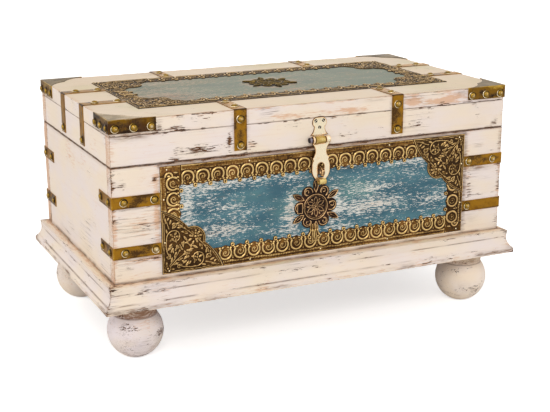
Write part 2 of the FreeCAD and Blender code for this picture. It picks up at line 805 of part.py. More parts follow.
relief = outline(new_sketch(leaf_body, "XY_Plane"), [
    (gap_left, S.overrun),
    (gap_left, -S.hasp_knuckle_radius - S.hinge_side_gap),
    (gap_right, -S.hasp_knuckle_radius - S.hinge_side_gap),
    (gap_right, S.overrun),
])
pocket(leaf_body, relief, S.hasp_knuckle_radius * 2, both_ways=True)
slot_half = S.hasp_slot_width / 2
slot_bottom = -S.hasp_slot_top_drop - S.hasp_slot_length
slot = outline(new_sketch(leaf_body, "XY_Plane"), [
    (slot_half, -S.hasp_slot_top_drop - slot_half),
    (ZERO, -S.hasp_slot_top_drop, slot_half, -1),
    (-slot_half, -S.hasp_slot_top_drop - slot_half, slot_half, -1),
    (-slot_half, slot_bottom),
    (slot_half, slot_bottom),
])
pocket(leaf_body, slot, S.hasp_knuckle_radius * 2, both_ways=True)
place(leaf_body, S.hasp_offset, hasp_axis_y, hasp_pin_z, TO_FRONT)

leaf_knuckles = [cylinder(S.hasp_knuckle_radius, width, S.hasp_offset + start, hasp_axis_y, hasp_pin_z,
                          TO_RIGHT)
                 for start, width in ((-leaf_half, S.hasp_left_knuckle_width),
                                      (gap_right, S.hasp_right_knuckle_width))]
curl_centre_y = hasp_axis_y - S.hasp_curl_radius + S.hasp_leaf_thickness / 2
curl_centre_z = hasp_pin_z - S.hasp_tip_drop
curl_start = S.hasp_offset - S.hasp_curl_width / 2
curl = cylinder(S.hasp_curl_radius, S.hasp_curl_width, curl_start, curl_centre_y, curl_centre_z, TO_RIGHT)
curl_hollow = cylinder(S.hasp_curl_radius - S.hasp_leaf_thickness, S.hasp_curl_width + 2 * S.overrun,
                       curl_start - S.overrun, curl_centre_y, curl_centre_z, TO_RIGHT)
curl_mouth = box((curl_start - S.overrun, curl_start + S.hasp_curl_width + S.overrun),
                 (curl_centre_y, curl_centre_y + S.hasp_curl_radius - S.hasp_leaf_thickness),
                 (curl_centre_z, curl_centre_z + S.hasp_curl_radius))
leaf_solid = fuse([leaf_body] + leaf_knuckles + [cut(cut(curl, curl_hollow), curl_mouth)])
keep(cut(leaf_solid, hasp_bore_rod), "hasp_leaf")

# Staple: a turned flange and stem with a flat eye that stands through the slot
staple_z = hasp_pin_z + slot_bottom + S.staple_slot_gap + S.staple_nose_radius
eye_y = hasp_axis_y - S.hasp_leaf_thickness / 2 - S.staple_leaf_gap - S.staple_eye_radius
staple_left = S.hasp_offset - S.staple_thickness / 2
staple_right = S.hasp_offset + S.staple_thickness / 2
staple_flange = cylinder(S.staple_flange_radius, S.staple_flange_thickness, S.hasp_offset, -half_depth,
                         staple_z, TO_FRONT)
staple_stem = cylinder(S.staple_stem_radius, S.staple_stem_length, S.hasp_offset, -half_depth
                       + S.staple_stem_length, staple_z, TO_FRONT)
staple_bar = box((staple_left, staple_right), (eye_y, -half_depth - S.staple_flange_thickness / 2),
                 (staple_z - S.staple_nose_radius * STAPLE_BAR_SHARE,
                  staple_z + S.staple_nose_radius * STAPLE_BAR_SHARE))
staple_nose = cylinder(S.staple_nose_radius, S.staple_thickness, staple_left, eye_y, staple_z, TO_RIGHT)
staple_eye = cylinder(S.staple_eye_radius, S.staple_thickness + 2 * S.overrun, staple_left - S.overrun,
                      eye_y, staple_z, TO_RIGHT)
keep(cut(fuse([staple_flange, staple_stem, staple_bar, staple_nose]), staple_eye), "hasp_staple")
staple_hole = cylinder(S.staple_stem_radius + S.nail_clearance, S.staple_stem_length + S.nail_clearance
                       + S.overrun, S.hasp_offset, -half_depth + S.staple_stem_length
                       + S.nail_clearance, staple_z, TO_FRONT)
staple_seat = cylinder(S.staple_flange_radius + S.hinge_side_gap, S.overrun, S.hasp_offset, -half_depth,
                       staple_z, TO_FRONT)


# Carcass boards

inner_half_width = half_width - S.board_thickness
inner_half_depth = half_depth - S.board_thickness
board_z = (underside, body_top)
body_holes = group([body_stud_holes, body_pin_holes, body_screw_holes, staple_hole])
carcass = {
    "front_board": box((-half_width, half_width), (-half_depth, -inner_half_depth), board_z),
    "back_board": box((-half_width, half_width), (inner_half_depth, half_depth), board_z),
    "left_board": box((-half_width, -inner_half_width), (-inner_half_depth, inner_half_depth), board_z),
    "right_board": box((inner_half_width, half_width), (-inner_half_depth, inner_half_depth), board_z),
}
for label, board in carcass.items():
    keep(cut(board, body_holes), label)
keep(box((-inner_half_width, inner_half_width), (-inner_half_depth, inner_half_depth),
         (bottom_level, bottom_level + S.bottom_thickness)), "bottom_board")


# Ball feet and the corner blocks that hold their spigots

foot_body = new_body("foot_turning")
collar_start = S.ball_centre_height + root(S.ball_radius * S.ball_radius - S.neck_radius * S.neck_radius)
ball_foot_radius = root(S.ball_radius * S.ball_radius - S.ball_centre_height * S.ball_centre_height)
foot_steps = [
    (ZERO, ZERO),
    (ball_foot_radius, ZERO),
    (S.neck_radius, collar_start, S.ball_radius, -1),
    (S.collar_radius, S.foot_height, S.collar_cove_radius, 1),
    (S.spigot_radius, S.foot_height),
    (S.spigot_radius, S.foot_height + S.spigot_length),
    (ZERO, S.foot_height + S.spigot_length),
]
revolve(foot_body, outline(new_sketch(foot_body, "XZ_Plane"), foot_steps), "V_Axis")
foot_x = half_width - S.foot_inset
foot_y = half_depth - S.foot_inset
CORNERS = (("front_left", -1, -1), ("front_right", 1, -1), ("back_left", -1, 1), ("back_right", 1, 1))
blocks = []
for corner, side, end in CORNERS:
    keep(group([copy_of(foot_body, side * foot_x, end * foot_y)]), f"foot_{corner}")
    block_x = sorted((side * inner_half_width, side * (inner_half_width - S.foot_block_side)),
                     key=lambda size: size.value)
    block_y = sorted((end * inner_half_depth, end * (inner_half_depth - S.foot_block_side)),
                     key=lambda size: size.value)
    block = box(block_x, block_y, (underside, bottom_level))
    socket = cylinder(S.spigot_radius + S.spigot_clearance, S.foot_block_height + 2 * S.overrun,
                      side * foot_x, end * foot_y, underside - S.overrun)
    blocks.append(cut(block, socket))
keep(group(blocks), "foot_blocks")


# Plinth: one moulding section, padded along each side and mitred at both ends

def moulding(label, half_length, distance, turn):
    """A mitred base moulding for one side of the carcass."""
    body = new_body("moulding")
    section = outline(new_sketch(body, "YZ_Plane"), [
        (ZERO, ZERO),
        (ZERO, S.plinth_height),
        (-S.plinth_top_reach, S.plinth_height - S.plinth_top_fall),
        (-S.plinth_neck_reach, S.plinth_bead_height),
        (-S.plinth_cove_reach, S.plinth_cove_height, S.plinth_cove_radius, 1),
        (-S.plinth_lip_reach, S.plinth_lip_height, S.plinth_lip_radius, 1),
        (-S.plinth_lip_reach, ZERO),
    ])
    pad(body, section, 2 * (half_length + S.plinth_lip_reach), both_ways=True)
    mitre = new_sketch(body, "XY_Plane")
    reach = S.plinth_lip_reach + S.overrun
    for side in SIDES:
        outline(mitre, [
            (side * half_length, ZERO),
            (side * (half_length + reach), ZERO),
            (side * (half_length + reach), -reach),
        ])
    pocket(body, mitre, S.plinth_height + S.overrun, flip=True)
    place(body, ZERO, ZERO, ZERO, UPWARD)
    x, y = distance
    keep(group([copy_of(body, x, y, underside, turn)]), label)


moulding("plinth_front", half_width, (ZERO, -half_depth), UPWARD)
moulding("plinth_back", half_width, (ZERO, half_depth), HALF_TURN)
moulding("plinth_left", half_depth, (-half_width, ZERO), quarter_turn(3))
moulding("plinth_right", half_depth, (half_width, ZERO), quarter_turn(1))


# L-shaped straps at the corners of the body

for corner, side, end in CORNERS:
    straps = []
    for drop in (S.upper_strap_drop, S.lower_strap_drop):
        heights = (body_top - drop - S.body_strap_width / 2, body_top - drop + S.body_strap_width / 2)

        def span(way, *sizes):
            return tuple(sorted((way * size for size in sizes), key=lambda size: size.value))

        face_leg = box(span(side, half_width - strap_front_leg, half_width + S.strap_thickness),
                       span(end, half_depth, half_depth + S.strap_thickness), heights)
        side_leg = box(span(side, half_width, half_width + S.strap_thickness),
                       span(end, half_depth - S.body_strap_side_leg, half_depth + S.strap_thickness), heights)
        straps.append(fuse([face_leg, side_leg]))
    keep(cut(group(straps), body_stud_holes), f"straps_{corner}")


# Lid boards

lid_holes = group([lid_stud_holes, lid_pin_holes, lid_screw_holes, hasp_screw_holes])
rail_z = (lid_bottom, rail_top)
lid_boards = {
    "lid_front_rail": box((-half_width, half_width), (-half_depth, -inner_half_depth), rail_z),
    "lid_back_rail": box((-half_width, half_width), (inner_half_depth, half_depth), rail_z),
    "lid_left_rail": box((-half_width, -inner_half_width), (-inner_half_depth, inner_half_depth), rail_z),
    "lid_right_rail": box((inner_half_width, half_width), (-inner_half_depth, inner_half_depth), rail_z),
    "lid_top_board": box((-half_width, half_width), (-half_depth, half_depth), (rail_top, lid_top)),
}
for label, board in lid_boards.items():
    keep(cut(board, lid_holes), label)


# L-shaped straps of the lid: one leg on top, up to the brass border, and one down the face

def lid_strap(label, face):
    """The two straps on one side of the lid."""
    across = S.lid_front_strap_offset if face in ("front", "back") else S.lid_side_strap_offset
    half = half_depth if face in ("front", "back") else half_width
    way = -1 if face in ("front", "left") else 1
    straps = []
    for side in SIDES:
        middle = side * across
        along = (middle - S.lid_strap_width / 2, middle + S.lid_strap_width / 2)
        outer = span(way, half, half + S.strap_thickness)
        full = span(way, half - lid_border_margin, half + S.strap_thickness)
        drop = (lid_top - S.lid_strap_leg, lid_top + S.strap_thickness)
        flat = (lid_top, lid_top + S.strap_thickness)
        if face in ("front", "back"):
            straps.append(fuse([box(along, outer, drop), box(along, full, flat)]))
        else:
            straps.append(fuse([box(outer, along, drop), box(full, along, flat)]))
    keep(cut(group(straps), lid_stud_holes), label)


for face in ("front", "back", "left", "right"):
    lid_strap(f"lid_straps_{face}", face)


# Three-faced corner brackets of the lid

bracket_body = new_body("bracket_top")
outer_edge = S.strap_thickness
bracket_top = outline(new_sketch(bracket_body, "XY_Plane"), [
    (-outer_edge, -outer_edge),
    (S.bracket_top_leg, -outer_edge),
    (S.bracket_notch, S.bracket_notch, S.bracket_scallop_radius, 1),
    (-outer_edge, S.bracket_top_leg, S.bracket_scallop_radius, 1),
])
pad(bracket_body, bracket_top, S.strap_thickness)
face_leg = box((-outer_edge, S.bracket_leg), (-outer_edge, ZERO), (-S.bracket_drop, outer_edge))
side_leg = box((-outer_edge, ZERO), (-outer_edge, S.bracket_leg), (-S.bracket_drop, outer_edge))
bracket_master = fuse([bracket_body, face_leg, side_leg])
for turns, (corner, side, end) in zip((0, 1, 3, 2), CORNERS):
    seat = copy_of(bracket_master, side * half_width, end * half_depth, lid_top, quarter_turn(turns))
    keep(cut(seat, lid_stud_holes), f"lid_bracket_{corner}")


# Pressed corner plates: origin at the outer corner, X and Y along the two outer edges

def plate_steps(grow):
    """A plate's outline, or with a growth the room that it takes out of the strips beside it."""
    leg = S.plate_leg + grow
    near = S.plate_cusp_near + grow
    far = S.plate_cusp_far + grow
    side = S.plate_side_radius + grow
    return [
        (-grow, -grow),
        (leg, -grow),
        (far, near, side, -1),
        (near, far, S.plate_lobe_radius + grow, -1),
        (-grow, leg, side, -1),
    ]


def lens_steps(x, y, length, width):
    """A pointed leaf that stands along Y."""
    radius = (length * length + width * width) / (4 * width)
    return [(x, y + length / 2, radius, 1), (x, y - length / 2, radius, 1)]


relief_top = S.sheet_thickness + S.relief_height
plate_master = new_body("corner_plate")
pad(plate_master, outline(new_sketch(plate_master, "XY_Plane"), plate_steps(ZERO)), S.sheet_thickness)
scrolls = new_sketch(plate_master, "XY_Plane")
for across, up in SCROLL_SHARES:
    circle(scrolls, S.plate_leg * across, S.plate_leg * up, S.scroll_radius)
    circle(scrolls, S.plate_leg * across, S.plate_leg * up, S.scroll_radius - S.scroll_wall)
    circle(scrolls, S.plate_leg * across, S.plate_leg * up, S.seed_radius)
pad(plate_master, scrolls, relief_top)
seeds = new_sketch(plate_master, "XY_Plane")
for across, up in SEED_SHARES:
    outline(seeds, lens_steps(S.plate_leg * across, S.plate_leg * up, S.plate_seed_length,
                              S.plate_seed_width))
pad(plate_master, seeds, relief_top)
plate_room = new_body("corner_plate_room")
pad(plate_room, outline(new_sketch(plate_room, "XY_Plane"), plate_steps(S.sheet_joint_gap)), S.overrun)


# Pressed brass strips: a plain band, a row of arches and small loops between them

def strip(name, length, first, pitch, count, rings=False):
    """A strip in its own plane. X runs along it from zero, and the plain outer edge is at Y zero."""
    body = new_body(name)
    sheet_shape = outline(new_sketch(body, "XY_Plane"), [
        (ZERO, ZERO), (length, ZERO), (length, S.strip_width), (ZERO, S.strip_width)])
    pad(body, sheet_shape, S.sheet_thickness)
    crown = S.plain_band_width + S.arch_radius
    foot = S.strip_width - S.loop_radius
    inner = S.arch_radius - S.arch_wall
    arch_shape = new_sketch(body, "XY_Plane")
    circle(arch_shape, first, crown, S.seed_radius)
    if rings:
        circle(arch_shape, first, crown, S.arch_radius)
        circle(arch_shape, first, crown, inner)
    else:
        outline(arch_shape, [
            (first - S.arch_radius, crown),
            (first, crown - S.arch_radius, S.arch_radius, -1),
            (first + S.arch_radius, crown, S.arch_radius, -1),
            (first + S.arch_radius, foot),
            (first + inner, foot),
            (first + inner, crown),
            (first, crown - inner, inner, 1),
            (first - inner, crown, inner, 1),
            (first - inner, foot),
            (first - S.arch_radius, foot),
        ])
    arch = pad(body, arch_shape, relief_top)
    row_of(body, [arch], arch_shape, "H_Axis", pitch, count)
    if count.value > 1:
        loop_shape = circle(new_sketch(body, "XY_Plane"), first + pitch / 2, S.strip_width + S.loop_overhang,
                            S.loop_radius)
        loop = pad(body, loop_shape, S.sheet_thickness + S.relief_height / 2)
        row_of(body, [loop], loop_shape, "H_Axis", pitch, count - 1)
    return body


def count_between(start, end, pitch):
    """How many arches stand between two places, the first arch included."""
    return whole((end - start) / pitch) + 1


def finish_sheet(seat, label, cutters):
    """A pressed sheet in its place, without the room of pins and of the sheets beside it."""
    keep(cut(seat, group(cutters)), label)


# Pressed brass of the front. A strip's inner side is its +Y, and the top one lies turned half round

def onto_front(master, x, z, roll):
    """A flat master on the front face, rolled in that plane."""
    return copy_of(master, x, -half_depth, z, TO_FRONT.multiply(Rotation(Vector(0, 0, 1), roll)))


border_right = -border_left
long_front_length = front_border_width - S.strip_width - S.plate_cusp_far
side_front_length = S.front_border_height - S.plate_cusp_far
last_arch = long_front_length - S.arch_radius - S.arch_end_gap
front_count = count_between(S.strip_end_room, last_arch, S.arch_pitch)
front_strip = strip("front_strip", long_front_length, last_arch - S.arch_pitch * (front_count - 1),
                    S.arch_pitch, front_count)
last_side_arch = side_front_length - S.arch_radius
left_strip = strip("left_strip", side_front_length, S.strip_end_room, S.arch_pitch,
                   count_between(S.strip_end_room, last_side_arch, S.arch_pitch))
right_strip = strip("right_strip", side_front_length, S.strip_end_room, S.ring_pitch,
                    count_between(S.strip_end_room, last_side_arch, S.ring_pitch), rings=True)
upper_room = onto_front(plate_room, border_right, border_top, 180)
lower_room = onto_front(plate_room, border_left, border_bottom, 0)
front_cutters = [body_pin_holes, staple_seat, upper_room, lower_room]
finish_sheet(onto_front(front_strip, border_right - S.plate_cusp_far, border_top, 180), "front_border_top",
             front_cutters)
finish_sheet(onto_front(front_strip, border_left + S.plate_cusp_far, border_bottom, 0), "front_border_bottom",
             front_cutters)
finish_sheet(onto_front(left_strip, border_left, border_top, 270), "front_border_left",
             [body_pin_holes, lower_room])
finish_sheet(onto_front(right_strip, border_right, border_bottom, 90), "front_border_right",
             [body_pin_holes, upper_room])
finish_sheet(onto_front(plate_master, border_right, border_top, 180), "front_corner_upper_right",
             [body_pin_holes])
finish_sheet(onto_front(plate_master, border_left, border_bottom, 0), "front_corner_lower_left",
             [body_pin_holes])


# Medallions: a disc with six lobes and six leaves, and a ringed rosette in the middle

medallion = new_body("medallion")
disc_shape = circle(new_sketch(medallion, "XY_Plane"), ZERO, ZERO, S.medallion_disc_radius)
pad(medallion, disc_shape, S.sheet_thickness)
lobe_shape = circle(new_sketch(medallion, "XY_Plane"), S.lobe_reach, ZERO, S.lobe_radius)
lobe = pad(medallion, lobe_shape, S.sheet_thickness)
lobe_rim = new_sketch(medallion, "XY_Plane")
circle(lobe_rim, S.lobe_reach, ZERO, S.lobe_radius - S.lobe_rim_width / 2)
circle(lobe_rim, S.lobe_reach, ZERO, S.lobe_radius - S.lobe_rim_width * 3 / 2)
rim = pad(medallion, lobe_rim, S.sheet_thickness + S.relief_height / 2)
ring_of(medallion, [lobe, rim], lobe_shape, S.medallion_fold_count)
leaf_outline = outline(new_sketch(medallion, "XY_Plane"),
                       lens_steps(ZERO, S.leaf_reach, S.leaf_length, S.leaf_width))
leaf = pad(medallion, leaf_outline, relief_top)
ring_of(medallion, [leaf], leaf_outline, S.medallion_fold_count)
rim_shape = new_sketch(medallion, "XY_Plane")
for radius in (S.wheel_radius, S.rosette_radius + S.wheel_rim_width):
    circle(rim_shape, ZERO, ZERO, radius)
    circle(rim_shape, ZERO, ZERO, radius - S.wheel_rim_width)
pad(medallion, rim_shape, relief_top)
pad(medallion, circle(new_sketch(medallion, "XY_Plane"), ZERO, ZERO, S.seed_radius), relief_top)
petal_length = S.rosette_radius + S.wheel_rim_width / 2
petal_shape = outline(new_sketch(medallion, "XY_Plane"),
                      lens_steps(ZERO, petal_length / 2, petal_length, S.petal_width))
petal = pad(medallion, petal_shape, relief_top)
ring_of(medallion, [petal], petal_shape, S.medallion_fold_count)

bottom_strip_room = onto_front(front_strip, border_left + S.plate_cusp_far, border_bottom, 0)
keep(cut(onto_front(medallion, S.medallion_offset, lid_top - S.medallion_drop, 0), bottom_strip_room),
     "front_medallion")
keep(group([copy_of(medallion, ZERO, ZERO, lid_top)]), "lid_medallion")


# Pressed brass of the lid

lid_half_x = lid_border_width / 2
lid_half_y = lid_border_depth / 2


def onto_lid(master, x, y, turns):
    """A flat master on the lid, turned by quarter turns."""
    return copy_of(master, x, y, lid_top, quarter_turn(turns))


def lid_strip(name, border_length):
    """A strip that runs from plate to plate, with its arches centred."""
    length = border_length - 2 * S.plate_cusp_far
    count = count_between(S.strip_end_room, length - S.strip_end_room, S.arch_pitch)
    return strip(name, length, (length - S.arch_pitch * (count - 1)) / 2, S.arch_pitch, count)


long_strip = lid_strip("long_strip", lid_border_width)
short_strip = lid_strip("short_strip", lid_border_depth)
long_start = lid_half_x - S.plate_cusp_far
short_start = lid_half_y - S.plate_cusp_far
corner_turns = dict(zip((corner for corner, _, _ in CORNERS), (0, 1, 3, 2)))
lid_rooms = [onto_lid(plate_room, side * lid_half_x, end * lid_half_y, corner_turns[corner])
             for corner, side, end in CORNERS]
lid_cutters = [lid_pin_holes] + lid_rooms
finish_sheet(onto_lid(long_strip, -long_start, -lid_half_y, 0), "lid_border_front", lid_cutters)
finish_sheet(onto_lid(long_strip, long_start, lid_half_y, 2), "lid_border_back", lid_cutters)
finish_sheet(onto_lid(short_strip, -lid_half_x, short_start, 3), "lid_border_left", lid_cutters)
finish_sheet(onto_lid(short_strip, lid_half_x, -short_start, 1), "lid_border_right", lid_cutters)
lid_plates = [onto_lid(plate_master, side * lid_half_x, end * lid_half_y, corner_turns[corner])
              for corner, side, end in CORNERS]
keep(cut(group(lid_plates), lid_pin_holes), "lid_corner_plates")


# Check every object, then write each sub-part

doc.recompute()
for thing in doc.Objects:
    if "Invalid" in thing.State or "Error" in thing.State:
        raise RuntimeError(f"{thing.Label} did not build")
os.makedirs("parts", exist_ok=True)
for part in parts:
    shape = part.Shape
    if shape.isNull() or not shape.isValid() or not shape.Solids:
        raise RuntimeError(f"{part.Label} has no valid solid")
for part in parts:
    part.Shape.exportStep(f"parts/{part.Label}.step")
print(len(parts), "sub-parts written")
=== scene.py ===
"""Looks of a painted damchiya chest: rubbed chalky paint, pressed brass, nailed straps, hasp and ball feet."""
import logging
import math
from dataclasses import dataclass, field, replace
from enum import Enum
from typing import Callable, Sequence

import bpy
import numpy as np
from mathutils import Matrix, Vector


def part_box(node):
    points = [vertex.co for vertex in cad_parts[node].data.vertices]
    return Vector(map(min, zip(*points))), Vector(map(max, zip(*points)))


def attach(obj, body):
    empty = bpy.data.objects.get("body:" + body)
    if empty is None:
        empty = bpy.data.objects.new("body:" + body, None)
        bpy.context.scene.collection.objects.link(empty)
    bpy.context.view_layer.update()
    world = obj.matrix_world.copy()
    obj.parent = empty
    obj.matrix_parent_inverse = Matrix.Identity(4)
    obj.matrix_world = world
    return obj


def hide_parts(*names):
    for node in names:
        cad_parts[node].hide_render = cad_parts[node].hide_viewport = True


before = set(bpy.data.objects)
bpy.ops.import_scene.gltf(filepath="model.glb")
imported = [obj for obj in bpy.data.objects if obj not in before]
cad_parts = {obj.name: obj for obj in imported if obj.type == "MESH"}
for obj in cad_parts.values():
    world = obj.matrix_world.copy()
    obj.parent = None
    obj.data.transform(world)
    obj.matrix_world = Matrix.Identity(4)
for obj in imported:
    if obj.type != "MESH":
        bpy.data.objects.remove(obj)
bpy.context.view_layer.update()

Array = np.ndarray
Colour = tuple[float, float, float]
Depth = Callable[[Array, Array], Array]
Socket = bpy.types.NodeSocket
LOG = logging.getLogger("damchiya chest")
MM = 0.001

# Sizes that several assemblies share, in millimetres from the chest's middle and from the floor
HALF_WIDTH, HALF_DEPTH, WALL = 425.0, 237.5, 24.0
PLINTH_FOOT, PLINTH_TOP, BODY_TOP, LID_TOP = 115.0, 165.0, 386.0, 473.0
STRAP_THICKNESS, CUSP = 1.5, 87.0
BEYOND = 999.0
CORNERS = (("front_left", -1, -1), ("front_right", 1, -1), ("back_left", -1, 1), ("back_right", 1, 1))
NEAR_CORNER = "front_left"


class Side(Enum):
    """Faces of the chest, with the directions along, up and outward of each."""

    FRONT = ((1, 0, 0), (0, 0, 1), (0, -1, 0))
    BACK = ((-1, 0, 0), (0, 0, 1), (0, 1, 0))
    LEFT = ((0, -1, 0), (0, 0, 1), (-1, 0, 0))
    RIGHT = ((0, 1, 0), (0, 0, 1), (1, 0, 0))
    TOP = ((1, 0, 0), (0, 1, 0), (0, 0, 1))

    @property
    def axes(self) -> Array:
        """Rows: along, up and outward."""
        return np.array(self.value, float)

    @property
    def wide(self) -> bool:
        """Whether it is the front or the back."""
        return self in (Side.FRONT, Side.BACK)

    @property
    def reach(self) -> float:
        """How far the face of a wall is from the chest's middle."""
        return HALF_DEPTH if self.wide else HALF_WIDTH


WALLS = (Side.FRONT, Side.BACK, Side.LEFT, Side.RIGHT)


class Grain(Enum):
    """Order in which a piece's X, Y and Z run along, across and through its grain."""

    ALONG_X = (0, 2, 1)
    ALONG_X_FLAT = (0, 1, 2)
    ALONG_Y = (1, 2, 0)


def hashed(cells: Array, seed: int) -> Array:
    """Give every whole-number cell a repeatable value.

    Args:
        cells: rows of three whole numbers.
        seed: which pattern of values to use.

    Returns:
        One value between -1 and 1 for each row.
    """
    mixed = cells[:, 0] * 374761393 + cells[:, 1] * 668265263 + cells[:, 2] * 1274126177 + seed * 974634777
    mixed &= 0xFFFFFFFF
    mixed = ((mixed ^ (mixed >> 13)) * 1103515245) & 0xFFFFFFFF
    return ((mixed ^ (mixed >> 16)) & 0xFFFF) / 32767.5 - 1


def unevenness(points: Array, cell: float | Sequence[float], seed: int, octaves: int = 1) -> Array:
    """Smooth random unevenness in space.

    Args:
        points: rows of X, Y and Z in millimetres.
        cell: size of one bump, the same each way or one size for each axis.
        seed: which pattern to use.
        octaves: how many layers, each of half the size and strength of the last.

    Returns:
        One value for each point, mostly between -1 and 1.
    """
    total = np.zeros(len(points))
    for octave in range(octaves):
        place = points / np.asarray(cell, float) * 2 ** octave + 31.7 * octave
        whole = np.floor(place).astype(np.int64)
        part = place - whole
        part = part * part * (3 - 2 * part)
        for corner in range(8):
            step = np.array([corner & 1, corner >> 1 & 1, corner >> 2 & 1])
            weight = np.prod(np.where(step, part, 1 - part), axis=1)
            total += weight * hashed(whole + step, seed + octave) / 2 ** octave
    return total


def eased(values: Array, low: float, high: float) -> Array:
    """Rise smoothly from 0 at low to 1 at high."""
    share = np.clip((values - low) / (high - low), 0, 1)
    return share * share * (3 - 2 * share)


def blotches(points: Array, cell: float | Sequence[float], seed: int, low: float, high: float,
             octaves: int = 2) -> Array:
    """Soft blotches between 0 and 1, which start where the unevenness passes low and are full at high."""
    return eased(unevenness(points, cell, seed, octaves), low, high)


def bell(values: Array, place: float, reach: float) -> Array:
    """1 at a place, and less on both sides over its reach."""
    return np.exp(-((values - place) / reach) ** 2)


def dome(gap: Array) -> Array:
    """Height of a round top: 1 at its middle, and nothing from a gap of 1 on."""
    return np.sqrt(np.clip(1 - gap ** 2, 0, None))


def on_plane(u: Array, v: Array) -> Array:
    """Places of a flat sheet as points in space."""
    return np.stack([u, v, 0 * u], 1)


@dataclass
class Shell:
    """A mesh in the making, in millimetres, with the values that its finish reads at each point."""

    points: Array
    faces: list[Array]
    outward: Array
    values: dict[str, Array] = field(default_factory=dict)

    def moved(self, axes: Array, origin: Sequence[float]) -> "Shell":
        """Carry the shell into the chest's frame.

        Args:
            axes: rows that say where its own X, Y and Z point. Where they mirror it, its faces turn over.
            origin: where its own origin goes.

        Returns:
            The shell in its new place.
        """
        faces = self.faces if np.linalg.det(axes) > 0 else [face[:, ::-1] for face in self.faces]
        return Shell(self.points @ axes + np.asarray(origin, float), faces, self.outward @ axes,
                     dict(self.values))

    def push(self, amount: Array) -> None:
        """Move each point outward."""
        self.points = self.points + self.outward * amount[:, None]

    def brassed(self, ridge: Array, shift: float = 0.0) -> "Shell":
        """Note what aged brass reads: how bright each point is, and its place in the surface pattern."""
        self.values = {"ridge": np.clip(ridge, 0, 1), "grain": self.points * MM + shift}
        return self

    def with_grain(self, grain: Grain, shift: float = 0.0) -> "Shell":
        """Note, in metres, how each point lies along, across and through the grain."""
        self.values["grain"] = self.points[:, grain.value] * MM + shift
        return self


def joined(shells: Sequence[Shell]) -> Shell:
    """Put several shells into one. A value that one of them lacks is nothing there."""
    starts = np.cumsum([0] + [len(shell.points) for shell in shells[:-1]])
    names = sorted(set().union(*(shell.values for shell in shells)))
    return Shell(np.concatenate([shell.points for shell in shells]),
                 [face + start for shell, start in zip(shells, starts) for face in shell.faces],
                 np.concatenate([shell.outward for shell in shells]),
                 {name: np.concatenate([shell.values.get(name, np.zeros(len(shell.points)))
                                        for shell in shells]) for name in names})


def stations(low: float, high: float, step: float, rounding: float) -> Array:
    """Places along an edge of a block, for its net.

    Args:
        low: where the edge starts.
        high: where it ends.
        step: spacing between the roundings.
        rounding: radius of the roundings.

    Returns:
        The places: close together in the rounding at both ends, even between.
    """
    turn = rounding * np.array([0, 0.12, 0.4, 0.8, 1.3, 2.2])
    reach = min(turn[-1], (high - low) * 0.4)
    turn *= reach / turn[-1]
    count = max(2, round((high - low - 2 * reach) / step) + 1)
    return np.unique(np.concatenate([low + turn[:-1], np.linspace(low + reach, high - reach, count),
                                     high - turn[:-1]]))


def block(low: Sequence[float], high: Sequence[float], step: float | Sequence[float], rounding: float) -> Shell:
    """A box with rounded edges and an even net of faces.

    Args:
        low: its lowest corner.
        high: its highest corner.
        step: spacing of the net, the same each way or one for each axis.
        rounding: radius of its edges.

    Returns:
        The box, with each point's distance from the nearest edge as "arris".
    """
    low, high = np.array(low, float), np.array(high, float)
    steps = np.broadcast_to(np.asarray(step, float), 3)
    axes = [stations(low[i], high[i], steps[i], rounding) for i in range(3)]
    last = [len(places) - 1 for places in axes]
    quads = []
    for axis in range(3):
        first, second = (axis + 1) % 3, (axis + 2) % 3
        i, j = np.meshgrid(np.arange(last[first]), np.arange(last[second]), indexing="ij")
        for end in (0, last[axis]):
            quad = np.zeros((i.size, 4, 3), np.int64)
            quad[..., axis] = end
            for corner, (di, dj) in enumerate(((0, 0), (1, 0), (1, 1), (0, 1))):
                quad[:, corner, first] = i.ravel() + di
                quad[:, corner, second] = j.ravel() + dj
            quads.append(quad if end else quad[:, ::-1])
    spots = np.concatenate(quads).reshape(-1, 3)
    key = (spots[:, 0] * (last[1] + 1) + spots[:, 1]) * (last[2] + 1) + spots[:, 2]
    _, chosen, index = np.unique(key, return_index=True, return_inverse=True)
    flat = np.stack([axes[i][spots[chosen, i]] for i in range(3)], 1)
    radius = np.minimum(rounding, (high - low) * 0.49)
    inner = np.clip(flat, low + radius, high - radius)
    outward = (flat - inner) / radius
    outward /= np.linalg.norm(outward, axis=1, keepdims=True)
    gaps = np.sort(np.minimum(flat - low, high - flat), axis=1)
    return Shell(inner + outward * radius, [index.reshape(-1, 4)], outward, {"arris": gaps[:, 1]})


def turned(profile: Sequence[tuple[float, float]], segments: int) -> Shell:
    """A turned piece about its own Z, closed at both ends.

    Args:
        profile: radius and height of each step, from the bottom to the top.
        segments: how many faces go round.

    Returns:
        The turning.
    """
    steps = np.array(profile, float)
    angles = np.arange(segments) * 2 * math.pi / segments
    around = np.stack([np.cos(angles), np.sin(angles)], 1)

    def spun(pairs: Array) -> Array:
        """Carry pairs of radius and height round."""
        heights = np.broadcast_to(pairs[:, None, 1:], (len(pairs), segments, 1))
        return np.concatenate([pairs[:, None, :1] * around[None], heights], 2).reshape(-1, 3)

    slope = np.gradient(steps, axis=0)
    away = np.stack([slope[:, 1], -slope[:, 0]], 1)
    away /= np.linalg.norm(away, axis=1, keepdims=True) + 1e-9
    i, j = np.meshgrid(np.arange(len(steps) - 1), np.arange(segments), indexing="ij")
    following = (j + 1) % segments
    quads = np.stack([i * segments + j, i * segments + following, (i + 1) * segments + following,
                      (i + 1) * segments + j], -1).reshape(-1, 4)
    top = (len(steps) - 1) * segments + np.arange(segments)
    return Shell(spun(steps), [quads, np.arange(segments)[None, ::-1], top[None]], spun(away))


